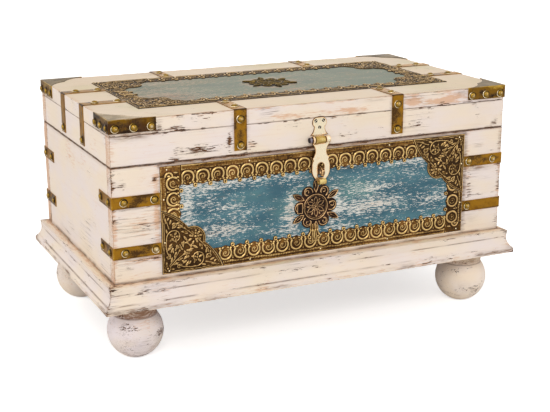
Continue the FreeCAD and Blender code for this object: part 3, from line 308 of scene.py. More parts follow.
def trace(steps: Sequence[Sequence[float]], pieces: int = 14) -> Array:
    """Points along a closed outline.

    Args:
        steps: (x, y) for a straight run, or (x, y, radius, bulge) for an arc. A bulge of 1 lies left of
            the way, and -1 lies right of it.
        pieces: how many chords an arc is cut into.

    Returns:
        The outline's corners, in order.
    """
    points = []
    for before, step in zip((steps[-1], *steps[:-1]), steps):
        start, end = np.array(before[:2], float), np.array(step[:2], float)
        if len(step) == 2:
            points.append(end)
            continue
        radius, bulge = step[2:]
        half = np.linalg.norm(end - start) / 2
        left = np.array([-(end - start)[1], (end - start)[0]]) / (2 * half)
        centre = (start + end) / 2 - left * math.sqrt(max(radius * radius - half * half, 0)) * bulge
        first = math.atan2(*(start - centre)[::-1])
        sweep = -bulge * 2 * math.asin(min(half / radius, 1))
        angles = first + sweep * np.arange(1, pieces + 1) / pieces
        points += list(centre + radius * np.stack([np.cos(angles), np.sin(angles)], 1))
    return np.array(points)


def depth_inside(outline: Array, u: Array, v: Array) -> Array:
    """How deep places lie inside a closed outline.

    Args:
        outline: the outline's corners, in order.
        u: X of each place.
        v: Y of each place.

    Returns:
        The depth of each place, less than nothing outside.
    """
    nearest = np.full(u.shape, 1e9)
    crossed = np.zeros(u.shape, bool)
    for (x0, y0), (x1, y1) in zip(outline, np.roll(outline, -1, axis=0)):
        dx, dy = x1 - x0, y1 - y0
        share = np.clip(((u - x0) * dx + (v - y0) * dy) / (dx * dx + dy * dy + 1e-12), 0, 1)
        nearest = np.minimum(nearest, np.hypot(u - x0 - share * dx, v - y0 - share * dy))
        if abs(dy) > 1e-12:
            crossed ^= ((y0 > v) != (y1 > v)) & (u < dx * (v - y0) / dy + x0)
    return np.where(crossed, nearest, -nearest)


class Mark:
    """One raised mark of a pressed pattern."""

    def lift(self, u: Array, v: Array) -> Array:
        """How far the mark stands up at each place."""
        raise NotImplementedError


@dataclass(frozen=True)
class Line(Mark):
    """A raised line with a round top."""

    points: Sequence[Sequence[float]]
    width: float
    height: float
    taper: float = 0.0

    def lift(self, u: Array, v: Array) -> Array:
        """How far the line stands up at each place.

        Args:
            u: X of each place.
            v: Y of each place.

        Returns:
            The height of each place.
        """
        path = np.array(self.points, float)
        low, high = path.min(axis=0) - self.width, path.max(axis=0) + self.width
        near = (u > low[0]) & (u < high[0]) & (v > low[1]) & (v < high[1])
        place = np.stack([u[near], v[near]], 1)[:, None]
        start, run = path[:-1], np.diff(path, axis=0)
        share = np.clip(((place - start) * run).sum(-1) / (run * run).sum(-1), 0, 1)
        gap = np.linalg.norm(place - start - share[..., None] * run, axis=-1)
        width = self.width * (1 - self.taper * (np.arange(len(run)) + share) / len(run))
        raised = np.zeros(u.shape)
        raised[near] = self.height * dome(gap / width).max(axis=1)
        return raised


@dataclass(frozen=True)
class Seed(Mark):
    """A raised almond with a groove along its middle."""

    x: float
    y: float
    angle: float
    length: float
    width: float
    height: float
    groove: float = 0.0

    def lift(self, u: Array, v: Array) -> Array:
        """How far the almond stands up at each place."""
        turn = math.radians(self.angle)
        along = (u - self.x) * math.cos(turn) + (v - self.y) * math.sin(turn)
        across = (v - self.y) * math.cos(turn) - (u - self.x) * math.sin(turn)
        half = self.width / 2 * np.clip(1 - (2 * along / self.length) ** 2, 1e-6, None)
        return self.height * dome(across / half) * (1 - self.groove * bell(across, 0, 0.16 * self.width))


@dataclass(frozen=True)
class Ring(Mark):
    """A raised ring, or a dome when its radius is nothing."""

    x: float
    y: float
    radius: float
    width: float
    height: float

    def lift(self, u: Array, v: Array) -> Array:
        """How far the ring stands up at each place."""
        return self.height * dome((np.hypot(u - self.x, v - self.y) - self.radius) / self.width)


def mirrored(marks: Sequence[Mark]) -> tuple[Mark, ...]:
    """Mirror marks across X.

    Args:
        marks: the marks.

    Returns:
        The marks, followed by their mirror images.
    """
    images = []
    for mark in marks:
        if isinstance(mark, Line):
            images.append(replace(mark, points=[(-x, y) for x, y in mark.points]))
        elif isinstance(mark, Seed):
            images.append(replace(mark, x=-mark.x, angle=180 - mark.angle))
        else:
            images.append(replace(mark, x=-mark.x))
    return (*marks, *images)


def highest(marks: Sequence[Mark], u: Array, v: Array) -> Array:
    """The highest of several marks at each place."""
    return np.maximum.reduce([np.zeros(u.shape), *(mark.lift(u, v) for mark in marks)])


def bow(x: float, y: float, radius: float, start: float, end: float, radius_end: float | None = None,
        pieces: int = 22) -> list[tuple[float, float]]:
    """Points along an arc, or along a spiral when its radius changes.

    Args:
        x: X of its middle.
        y: Y of its middle.
        radius: radius at its start.
        start: angle at its start, in degrees.
        end: angle at its end.
        radius_end: radius at its end, where it changes.
        pieces: how many points.

    Returns:
        The points, in order.
    """
    angles = np.radians(np.linspace(start, end, pieces))
    radii = np.linspace(radius, radius if radius_end is None else radius_end, pieces)
    return list(zip(x + radii * np.cos(angles), y + radii * np.sin(angles)))


def of_four(grid: Array) -> Array:
    """Sum of the four corners of each cell of a grid."""
    return grid[:-1, :-1] + grid[1:, :-1] + grid[1:, 1:] + grid[:-1, 1:]


def box_mean(grid: Array, spread: int) -> Array:
    """Mean of a grid over the square that reaches so many places each way."""
    width = 2 * spread + 1
    for axis in (0, 1):
        total = np.cumsum(np.concatenate([np.repeat(grid.take([0], axis), spread + 1, axis), grid,
                                          np.repeat(grid.take([-1], axis), spread, axis)], axis), axis)
        upper = np.arange(width, total.shape[axis])
        grid = (total.take(upper, axis) - total.take(upper - width, axis)) / width
    return grid


def stamped(extent: Sequence[float], step: float, inside: Depth, relief: Depth, rim: float = 1.0,
            two_sided: bool = False, warp: float = 0.0) -> Shell:
    """A sheet cut to an outline and pressed into relief. It lies in its own X and Y, and rises along Z.

    Args:
        extent: lowest X and Y, then highest X and Y.
        step: spacing of its net.
        inside: depth of a place inside the outline.
        relief: height of the surface at a place.
        rim: how far in from the edge the surface starts to round off.
        two_sided: whether its back is a mirror image of its front, and not flat at zero.
        warp: how far the pattern wanders, as hand pressing makes it.

    Returns:
        The sheet, with "ridge" for how proud a place stands of what is round it, "edge" and "grain".
    """
    u_places, v_places = (np.arange(extent[i] - 2 * step, extent[i + 2] + 2.5 * step, step) for i in (0, 1))
    grid_u, grid_v = (grid.ravel() for grid in np.meshgrid(u_places, v_places, indexing="ij"))
    rows, columns = len(u_places), len(v_places)
    kept = of_four(inside(grid_u, grid_v).reshape(rows, columns)) > 0
    count = of_four(np.pad(kept.astype(int), 1))
    edge = ((count > 0) & (count < 4)).ravel()
    for _ in range(2):
        u, v = grid_u[edge], grid_v[edge]
        gap = inside(u, v)
        slope_u = (inside(u + 0.05, v) - inside(u - 0.05, v)) / 0.1
        slope_v = (inside(u, v + 0.05) - inside(u, v - 0.05)) / 0.1
        size = np.maximum(slope_u ** 2 + slope_v ** 2, 0.2)
        grid_u[edge] = u - np.clip(gap * slope_u / size, -0.6 * step, 0.6 * step)
        grid_v[edge] = v - np.clip(gap * slope_v / size, -0.6 * step, 0.6 * step)
    deep = inside(grid_u, grid_v)
    flat = on_plane(grid_u, grid_v)
    height = relief(grid_u + warp * unevenness(flat, 24, 5), grid_v + warp * unevenness(flat, 24, 6))
    share = np.clip(deep / rim, 0, 1)
    height = height * (0.4 + 0.6 * np.sqrt(1 - (1 - share) ** 2))
    ground = box_mean(height.reshape(rows, columns), max(1, round(2.6 / step))).ravel()
    ridge = np.clip(0.44 + (height - ground) / 1.15 + 0.1 * (height - 1)
                    + 0.5 * np.minimum(height - 1, 0), 0, 1)
    i, j = np.nonzero(kept)
    corner = i * columns + j
    used, quads = np.unique(np.stack([corner, corner + columns, corner + columns + 1, corner + 1], 1),
                            return_inverse=True)
    quads = quads.reshape(-1, 4)
    top = np.stack([grid_u[used], grid_v[used], height[used]], 1)
    bottom = top * (1, 1, -1 if two_sided else 0)
    starts, ends = quads.ravel(), np.roll(quads, -1, axis=1).ravel()
    size = len(used)
    one_way = ~np.isin(starts * size + ends, ends * size + starts)
    starts, ends = starts[one_way], ends[one_way]
    walls = np.stack([ends, starts, starts + size, ends + size], 1)
    outward = np.repeat([(0.0, 0.0, 1.0), (0.0, 0.0, -1.0)], size, axis=0)
    return Shell(np.concatenate([top, bottom]), [quads, walls, quads[:, ::-1] + size], outward,
                 {"ridge": np.tile(ridge[used], 2), "grain": np.tile(flat[used] * MM, (2, 1)),
                  "edge": np.tile(bell(np.maximum(deep[used], 0), 0, 1.6), 2)})


def build_piece(name: str, shell: Shell, finish: "Finish", body: str, node: str, crease: float = 50.0) -> None:
    """Make a Blender object from a shell, and let it ride on its body.

    Args:
        name: name of the piece.
        shell: its mesh, in millimetres in the chest's frame.
        finish: what it is finished with.
        body: the moving body that it belongs to.
        node: the CAD node that it is shown in place of.
        crease: angle in degrees above which an edge stays sharp.
    """
    mesh = bpy.data.meshes.new(name)
    mesh.vertices.add(len(shell.points))
    mesh.vertices.foreach_set("co", (shell.points * MM).astype(np.float32).ravel())
    corners = np.concatenate([face.ravel() for face in shell.faces]).astype(np.int32)
    sizes = np.concatenate([np.full(len(face), face.shape[1]) for face in shell.faces])
    mesh.loops.add(len(corners))
    mesh.loops.foreach_set("vertex_index", corners)
    mesh.polygons.add(len(sizes))
    mesh.polygons.foreach_set("loop_start", np.concatenate([[0], np.cumsum(sizes)[:-1]]).astype(np.int32))
    mesh.polygons.foreach_set("use_smooth", np.ones(len(sizes), bool))
    mesh.update(calc_edges=True)
    mesh.validate()
    note_values(mesh, shell.values)
    mesh.set_sharp_from_angle(angle=math.radians(crease))
    piece = bpy.data.objects.new(name, mesh)
    bpy.context.scene.collection.objects.link(piece)
    piece.data.materials.append(finish.material())
    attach(piece, body)
    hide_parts(node)
    LOG.info("%s rides on %s: %d points", name, body, len(shell.points))


def note_values(mesh: bpy.types.Mesh, values: dict[str, Array]) -> None:
    """Write values for each point onto a mesh, where its finish reads them."""
    for name, numbers in values.items():
        kind, key = ("FLOAT", "value") if numbers.ndim == 1 else ("FLOAT_VECTOR", "vector")
        mesh.attributes.new(name, kind, "POINT").data.foreach_set(key, numbers.astype(np.float32).ravel())


def tint(red: int, green: int, blue: int) -> tuple[float, float, float, float]:
    """A screen colour, 0 to 255, as the linear colour that shaders take."""
    return (*(((c / 255 + 0.055) / 1.055) ** 2.4 if c > 10 else c / 3294.6 for c in (red, green, blue)), 1.0)


class Graph:
    """A material's node tree, with short calls for the nodes that the finishes use."""

    def __init__(self, name: str) -> None:
        """Start a material with nothing but a shader and its output."""
        self.finished = bpy.data.materials.new(name)
        self.finished.use_nodes = True
        self.nodes = self.finished.node_tree.nodes
        self.nodes.clear()
        self.shader = self.node("BsdfPrincipled")
        self.feed(self.node("OutputMaterial").inputs[0], self.shader.outputs[0])

    def feed(self, socket: Socket, value: object) -> None:
        """Link a socket to another, or set its value."""
        if isinstance(value, Socket):
            self.finished.node_tree.links.new(value, socket)
        else:
            socket.default_value = value

    def node(self, kind: str, *values: object, **settings: object) -> bpy.types.Node:
        """Add a node with its settings, and feed its first inputs."""
        node = self.nodes.new("ShaderNode" + kind)
        for name, setting in settings.items():
            setattr(node, name, setting)
        for socket, value in zip(node.inputs, values):
            self.feed(socket, value)
        return node

    def read(self, name: str) -> Socket:
        """A value that the mesh carries."""
        return self.node("Attribute", attribute_name=name).outputs["Vector" if name == "grain" else "Fac"]

    def math(self, operation: str, first: object, second: object = 0.0) -> Socket:
        """One sum of two values."""
        return self.node("Math", first, second, operation=operation).outputs[0]

    def times(self, first: object, second: object) -> Socket:
        """One value times another."""
        return self.math("MULTIPLY", first, second)

    def total(self, *terms: tuple[object, float]) -> Socket:
        """Sum of values, each times its weight."""
        result: object = 0.0
        for value, weight in terms:
            result = self.math("ADD", result, self.times(value, weight))
        return result

    def noise(self, scale: Sequence[float], detail: float = 2.0, roughness: float = 0.5,
              shift: float = 0.0) -> Socket:
        """Smooth noise along the grain.

        Args:
            scale: bumps per metre along, across and through the grain.
            detail: number of finer layers.
            roughness: strength of the finer layers.
            shift: how far along to start, for another pattern of the same kind.

        Returns:
            A value around one half.
        """
        place = self.node("VectorMath", self.read("grain"), scale, (shift,) * 3, operation="MULTIPLY_ADD")
        node = self.node("TexNoise", place.outputs[0])
        for name, value in (("Scale", 1.0), ("Detail", detail), ("Roughness", roughness)):
            node.inputs[name].default_value = value
        return node.outputs[0]

    def rise(self, value: Socket, low: float, high: float) -> Socket:
        """Rise smoothly from 0 at low to 1 at high."""
        return self.node("MapRange", value, low, high, interpolation_type="SMOOTHSTEP").outputs[0]

    def blend(self, share: object, first: object, second: object) -> Socket:
        """Mix two colours. Three plain numbers are a screen colour."""
        node = self.node("Mix", share, data_type="RGBA")
        for index, value in ((6, first), (7, second)):
            self.feed(node.inputs[index], tint(*value) if isinstance(value, tuple) else value)
        return node.outputs[2]

    def scale(self, value: object, low: float, high: float) -> Socket:
        """Spread a value from 0 to 1 over low to high."""
        return self.math("ADD", self.times(value, high - low), low)

    def raised(self, height: Socket, distance: float, strength: float = 1.0) -> None:
        """Feed a height into the shader as fine relief. Distance is in metres."""
        node = self.node("Bump")
        for name, value in (("Strength", strength), ("Distance", distance), ("Height", height)):
            self.feed(node.inputs[name], value)
        self.feed(self.shader.inputs["Normal"], node.outputs[0])

    def finish(self, **inputs: object) -> bpy.types.Material:
        """Set the shader's inputs, whose names are written with underscores, and hand the material over."""
        for name, value in inputs.items():
            self.feed(self.shader.inputs[name.replace("_", " ")], value)
        return self.finished


@dataclass(frozen=True)
class Finish:
    """What a piece is finished with."""

    name: str
    slot: str

    def material(self) -> bpy.types.Material:
        """The finish's material, made once."""
        return bpy.data.materials.get(self.name) or self.made()

    def made(self) -> bpy.types.Material:
        """Make the material."""
        raise NotImplementedError


@dataclass(frozen=True)
class ChalkPaint(Finish):
    """Chalky cream-white paint on brown wood, chipped along the grain and rubbed at the edges."""

    coat: Colour = (234, 218, 199)
    cool: Colour = (230, 217, 211)
    aged: Colour = (233, 211, 182)
    mellow: Colour = (221, 205, 166)
    peach: Colour = (214, 170, 136)
    bark: Colour = (58, 36, 24)
    wood: Colour = (124, 85, 56)
    bare_wood: Colour = (160, 118, 80)
    blue: Colour = (76, 117, 128)
    deep_blue: Colour = (56, 94, 108)
    green_blue: Colour = (92, 132, 132)
    fleck: Colour = (216, 214, 206)
    warm_fleck: Colour = (204, 188, 172)
    # Colour of soiling, which also serves as painted shade below the straps and brackets, beside the border and
    # on the feet's collars
    grime: Colour = (112, 84, 66)
    has_field: bool = False
    fleck_level: float = 0.0

    def made(self) -> bpy.types.Material:
        """Make the paint's material.

        Returns:
            The material.
        """
        graph = Graph(self.name)
        wear, rub, tone, edge = (graph.read(name) for name in ("wear", "rub", "tone", "edge"))
        broad = graph.noise((9, 16, 16), 3)
        brush = graph.noise((9, 190, 190), 3, shift=3)
        patch = graph.noise((13, 30, 30), 3, shift=7)
        dashes = graph.noise((50, 500, 500), 4, 0.62, shift=1)
        grit = graph.noise((320, 520, 520), 2, shift=5)
        colour = graph.blend(graph.rise(broad, 0.35, 0.65), self.coat, self.cool)
        old = graph.blend(graph.rise(graph.noise((6, 6, 6), 3, shift=33), 0.45, 0.7), self.aged, self.mellow)
        colour = graph.blend(tone, colour, old)
        colour = graph.blend(graph.times(graph.rise(brush, 0.52, 0.8), 0.14), colour, self.peach)
        if self.has_field:
            colour = self.field_colour(graph, colour, broad, patch, grit)
        streaks = graph.noise((44, 330, 330), 5, 0.7, shift=9)
        rubbed = graph.rise(graph.total((streaks, 1.0), (patch, 0.2), (rub, 0.30), (edge, 0.12)), 0.70, 0.92)
        colour = graph.blend(graph.times(rubbed, 0.85), colour, self.peach)
        # Darken towards the grime colour where the mesh marks it: real soiling, and painted shade where pieces
        # mark shade
        smeared_grime_and_shade = graph.times(graph.read("grime"), graph.scale(graph.rise(streaks, 0.36, 0.62), 0.3, 1.0))
        colour = graph.blend(smeared_grime_and_shade, colour, self.grime)
        chip = self.chips(graph, dashes, graph.total((dashes, 1.0), (patch, 0.45), (wear, 0.30), (edge, 0.20),
                                                     (rubbed, 0.03)), wear)
        colour = graph.blend(chip, colour, graph.blend(graph.rise(grit, 0.35, 0.65), self.bark, self.wood))
        dry = graph.rise(graph.noise((6, 130, 130), 4, shift=21), 0.3, 0.7)
        raw = graph.blend(dry, self.wood, self.bare_wood)
        graph.raised(graph.total((chip, -1.0), (grit, 0.16), (brush, 0.22)), 0.0006, 0.8)
        return graph.finish(Base_Color=graph.blend(graph.read("paint"), raw, colour),
                            Roughness=graph.scale(chip, 0.58, 0.82), Specular_IOR_Level=0.28)

    @staticmethod
    def chips(graph: Graph, dashes: Socket, level: Socket, wear: Socket) -> Socket:
        """Where paint is gone: in dashes along the grain, in hairlines, and along the seams, whose dark lines
        also paint shade in creases.

        Args:
            graph: the paint's node tree.
            dashes: noise in dashes along the grain.
            level: how near each place is to a chip.
            wear: how worn each place is.

        Returns:
            1 where the wood shows, and 0 where it does not.
        """
        hair = graph.math("ABSOLUTE", graph.math("SUBTRACT", graph.noise((3.5, 230, 230), 1, shift=13), 0.5))
        worn = graph.rise(graph.total((graph.noise((7, 12, 12), 2, shift=17), 1.0), (wear, 0.3)), 0.58, 0.68)
        hair = graph.times(graph.math("SUBTRACT", 1.0, graph.rise(hair, 0.0, 0.018)), worn)
        line = graph.times(graph.read("seam"), graph.scale(graph.rise(dashes, 0.3, 0.6), 0.6, 1.0))
        return graph.math("MAXIMUM", graph.rise(level, 0.975, 1.015),
                          graph.math("MAXIMUM", line, graph.times(hair, 0.65)))

    def field_colour(self, graph: Graph, ground: Socket, broad: Socket, patch: Socket, grit: Socket) -> Socket:
        """Lay the blue field, rubbed through in flecks along the grain, over the ground.

        Args:
            graph: the paint's node tree.
            ground: colour round the field.
            broad: noise in broad patches.
            patch: noise in small patches.
            grit: fine noise.

        Returns:
            The colour of the field and the ground.
        """
        blue = graph.blend(graph.rise(patch, 0.35, 0.7), self.deep_blue, self.blue)
        blue = graph.blend(graph.rise(broad, 0.5, 0.75), blue, self.green_blue)
        flecks = graph.total((graph.noise((100, 430, 430), 5, 0.72, shift=25), 1.0), (patch, 0.06),
                             (graph.noise((20, 130, 130), 3, shift=29), 0.28), (graph.read("fleck"), 0.068))
        shown = graph.rise(flecks, 0.738 - self.fleck_level, 0.758 - self.fleck_level)
        warm = graph.rise(graph.total((grit, 0.7), (graph.read("warm"), 0.2)), 0.36, 0.66)
        blue = graph.blend(graph.times(shown, 0.95), blue, graph.blend(warm, self.fleck, self.warm_fleck))
        return graph.blend(graph.read("field"), ground, blue)


@dataclass(frozen=True)
class RawWood(Finish):
    """Bare dry hardwood."""

    light: Colour = (166, 126, 88)
    dark: Colour = (98, 66, 44)

    def made(self) -> bpy.types.Material:
        """Make the wood's material."""
        graph = Graph(self.name)
        grain = graph.noise((5, 150, 150), 5, 0.6)
        graph.raised(grain, 0.0006)
        return graph.finish(Base_Color=graph.blend(graph.rise(grain, 0.3, 0.72), self.dark, self.light),
                            Roughness=graph.scale(grain, 0.6, 0.85))


@dataclass(frozen=True)
class AgedBrass(Finish):
    """Brass with dirt in its hollows and bright rubbed ridges."""

    hollow: Colour
    middle: Colour
    ridge: Colour
    stain: Colour
    low: float = 0.36
    high: float = 0.74
    mottle: float = 0.6
    polish: float = 0.36
    stain_level: float = 0.5

    def made(self) -> bpy.types.Material:
        """Make the brass's material.

        Returns:
            The material.
        """
        graph = Graph(self.name)
        patina = graph.noise((26, 26, 26), 4, 0.6)
        scratch = graph.noise((30, 700, 700), 3, shift=4)
        fine = graph.noise((420, 420, 420), 3, shift=8)
        level = graph.total((graph.read("ridge"), 1.0), (graph.math("SUBTRACT", patina, 0.5), self.mottle),
                            (graph.math("SUBTRACT", fine, 0.5), 0.4), (graph.read("edge"), -0.1))
        middle = graph.rise(level, self.low - 0.16, self.low + 0.14)
        bright = graph.rise(level, self.high - 0.2, self.high + 0.12)
        stained = graph.times(graph.rise(patina, 0.5, 0.68), self.stain_level)
        colour = graph.blend(stained, graph.blend(middle, self.hollow, self.middle), self.stain)
        graph.raised(graph.total((scratch, 0.4), (fine, 0.5), (patina, 0.6)), 0.0004, 0.7)
        rough = graph.total((patina, 0.3), (bright, -0.1), (scratch, 0.12))
        return graph.finish(Base_Color=graph.blend(bright, colour, self.ridge),
                            Metallic=graph.scale(middle, 0.25, 0.95),
                            Specular_IOR_Level=graph.scale(middle, 0.15, 0.5),
                            Roughness=graph.math("ADD", rough, self.polish - 0.12))


PAINT = ChalkPaint("rubbed chalk white paint", "white_painted_wood")
# Copies of the white paint for the feet, matched to how light falls on each: a slightly darker lilac one with
# painted shade for the near foot, a lighter warmer one with painted light for the far feet
NEAR_FOOT_PAINT_SHADED = ChalkPaint("rubbed chalk white paint with a lilac cast", "white_painted_wood",
                        coat=(229, 215, 204), cool=(228, 217, 218), grime=(146, 110, 86))
FAR_FOOT_PAINT_LIT = ChalkPaint("rubbed chalk white paint, warmer", "white_painted_wood",
                            coat=(242, 224, 202), cool=(240, 226, 214), grime=(168, 132, 104))
FRONT_PAINT = ChalkPaint("rubbed chalk paint with a blue field", "blue_painted_wood", has_field=True)
LID_PAINT = ChalkPaint("rubbed chalk paint with a grey-blue field", "blue_painted_wood", has_field=True,
                       blue=(124, 131, 110), deep_blue=(114, 122, 105), green_blue=(130, 129, 104),
                       fleck=(184, 170, 146), warm_fleck=(176, 140, 114), fleck_level=-0.01)
RAW = RawWood("dry hardwood", "raw_wood")
# Brasses: hollow, middle, ridge and stain colours, then the levels where the middle and the ridge colour start
PRESSED = AgedBrass("pressed brass", "pressed_brass", (56, 32, 6), (128, 90, 40), (214, 182, 120),
                    (124, 78, 42), 0.42, 0.79, mottle=0.9)
PLATE_BRASS = AgedBrass("pressed brass of the corner plates", "pressed_brass", (50, 30, 4), (94, 65, 24),
                        (206, 170, 112), (92, 58, 24), 0.45, 0.81)
WHEEL_BRASS = AgedBrass("pressed brass of the wheel", "pressed_brass", (28, 15, 9), (82, 55, 30),
                        (206, 166, 118), (86, 48, 32), 0.46, 0.85)
LID_PRESSED = AgedBrass("pressed brass of the lid", "pressed_brass", (44, 30, 12), (78, 57, 30),
                        (200, 170, 122), (84, 56, 32), 0.46, 0.84, polish=0.54)
LID_WHEEL = AgedBrass("dark pressed brass of the lid", "pressed_brass", (26, 18, 6), (62, 48, 18),
                      (146, 122, 70), (70, 48, 26), 0.46, 0.86, polish=0.54)
STRAP = AgedBrass("strap brass", "strap_brass", (72, 47, 16), (160, 114, 30), (206, 168, 80),
                  (100, 64, 22), 0.41, 0.86, mottle=1.15, stain_level=0.8)
BRACKET = AgedBrass("bracket brass", "strap_brass", (42, 26, 12), (126, 90, 26), (190, 152, 62),
                    (72, 44, 20), 0.40, 0.84, mottle=1.2, stain_level=0.9)
# Painted sheen: a lighter, greyer copy of the bracket brass for the tops, standing in for the light that they
# catch from above
BRACKET_TOP_SHEEN = AgedBrass("bracket brass with a painted sheen from above", "strap_brass", (90, 76, 56), (136, 120, 94),
                        (196, 174, 142), (108, 88, 64), high=0.9, polish=0.5)
NAIL = AgedBrass("nail brass", "nail_brass", (44, 27, 10), (152, 119, 44), (255, 236, 196),
                 (110, 80, 28), polish=0.26, stain_level=0.35)
HASP = AgedBrass("pale hasp brass", "hasp_brass", (84, 48, 18), (250, 206, 150), (255, 240, 208),
                 (240, 182, 124), 0.2, 0.60, polish=0.24, stain_level=0.35)
KNUCKLE_BRASS = AgedBrass("darker hasp brass", "hasp_brass", (64, 42, 14), (186, 150, 76), (240, 216, 146),
                          (122, 88, 36), 0.26, 0.72, polish=0.24, stain_level=0.4)
STEEL = AgedBrass("dark steel", "steel", (40, 36, 38), (112, 104, 112), (170, 160, 176), (92, 76, 74),
                  polish=0.34)


@dataclass(frozen=True)
class Patch:
    """A worn place on a face: where it is, how far it reaches each way and how strong it is."""

    across: float
    up: float
    reach: float
    rise: float
    strength: float

    def at(self, along: Array, up: Array) -> Array:
        """How strong the wear is at each place."""
        return self.strength * bell(along, self.across, self.reach) * bell(up, self.up, self.rise)


def patches(*rows: tuple[float, ...]) -> tuple[Patch, ...]:
    """Patches from their numbers."""
    return tuple(Patch(*row) for row in rows)


def patched(worn: Sequence[Patch], along: Array, up: Array) -> Array:
    """The wear of several patches together."""
    return sum((patch.at(along, up) for patch in worn), np.zeros(along.shape))


def weathered(shell: Shell, seed: int, bite: float = 1.0) -> Shell:
    """Give a wooden shell wavy faces and rubbed, nicked edges, and note where it is worn.

    Args:
        shell: the piece, with its "arris".
        seed: which unevenness to use.
        bite: how deep its edges are rubbed.

    Returns:
        The same shell.
    """
    arris, places = shell.values["arris"], shell.points
    nick = np.clip(unevenness(places, 16, seed, 3) * 1.5 - 0.15, 0, 1)
    wave = 0.10 * unevenness(places, 85, seed + 4) + 0.04 * unevenness(places, 14, seed + 5)
    shell.push(wave - bite * bell(arris, 0, 3.2) * (0.12 + 0.75 * nick))
    places = shell.points
    shell.values.update(
        edge=bell(arris, 0, 2.4) * (0.55 + 0.6 * nick),
        wear=0.35 * blotches(places, 60, seed + 7, 0.1, 0.9) + 0.4 * bell(arris, 0, 9) * nick,
        rub=0.5 * blotches(places, 70, seed + 9, 0.2, 1.0),
        tone=0.25 * blotches(places, 120, seed + 11, -0.5, 1.0, 1),
        paint=np.ones(len(places)), seam=np.zeros(len(places)))
    return shell


def corner_lines(shell: Shell, seed: int) -> Array:
    """Broken dark lines down the chest's four corner arrises and down the joints beside them."""
    x, y = np.abs(shell.points[:, 0]), np.abs(shell.points[:, 1])
    off_corner = np.hypot(x - HALF_WIDTH, y - HALF_DEPTH)
    off_joint = np.hypot(np.minimum(HALF_WIDTH - x, 1.0), y - (HALF_DEPTH - WALL))
    broken = blotches(shell.points, (30, 30, 34), seed + 60, -0.5, 0.3, 3)
    return np.maximum(0.8 * (0.35 + 0.65 * broken) * bell(off_corner, 0, 1.0),
                      0.6 * broken ** 2 * (x > HALF_WIDTH - 1) * bell(off_joint, 0, 1.1))


def joint_line(shell: Shell) -> Array:
    """A broken dark line where the boards meet the plinth."""
    return eased(-shell.points[:, 2], -PLINTH_TOP - 2.5, -PLINTH_TOP - 0.5) * (
        0.4 + 0.6 * blotches(shell.points, (26, 26, 9), 83, -0.4, 0.2))


def weather_ends(shell: Shell) -> None:
    """Let the boards' ends, which show as bands on the sides, yellow and rub through more than the faces."""
    x, y = np.abs(shell.points[:, 0]), np.abs(shell.points[:, 1])
    end = (x > HALF_WIDTH - 1) * eased(y, HALF_DEPTH - WALL - 1, HALF_DEPTH - WALL + 1)
    shell.values["rub"] += 1.9 * end * (0.7 + 0.5 * unevenness(shell.points, (30, 30, 50), 71, 2))
    shell.values["tone"] *= 1 - end
    shell.values["grime"] = 0.12 * end


def beyond_walls(shell: Shell) -> Array:
    """How far each point lies outside the chest's walls. Inside them it is less than nothing."""
    x, y = np.abs(shell.points[:, 0]), np.abs(shell.points[:, 1])
    return np.maximum(x - HALF_WIDTH, y - HALF_DEPTH)


def corners_of(node: str) -> tuple[Array, Array]:
    """Lowest and highest corner of a CAD node, in millimetres."""
    low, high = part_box(node)
    return np.array(low) / MM, np.array(high) / MM


def board(node: str, grain: Grain, seed: int, step: float = 5.0, rounding: float = 1.3) -> Shell:
    """A weathered board the size of a CAD node."""
    low, high = corners_of(node)
    return weathered(block(low, high, step, rounding), seed).with_grain(grain, seed * 0.37)


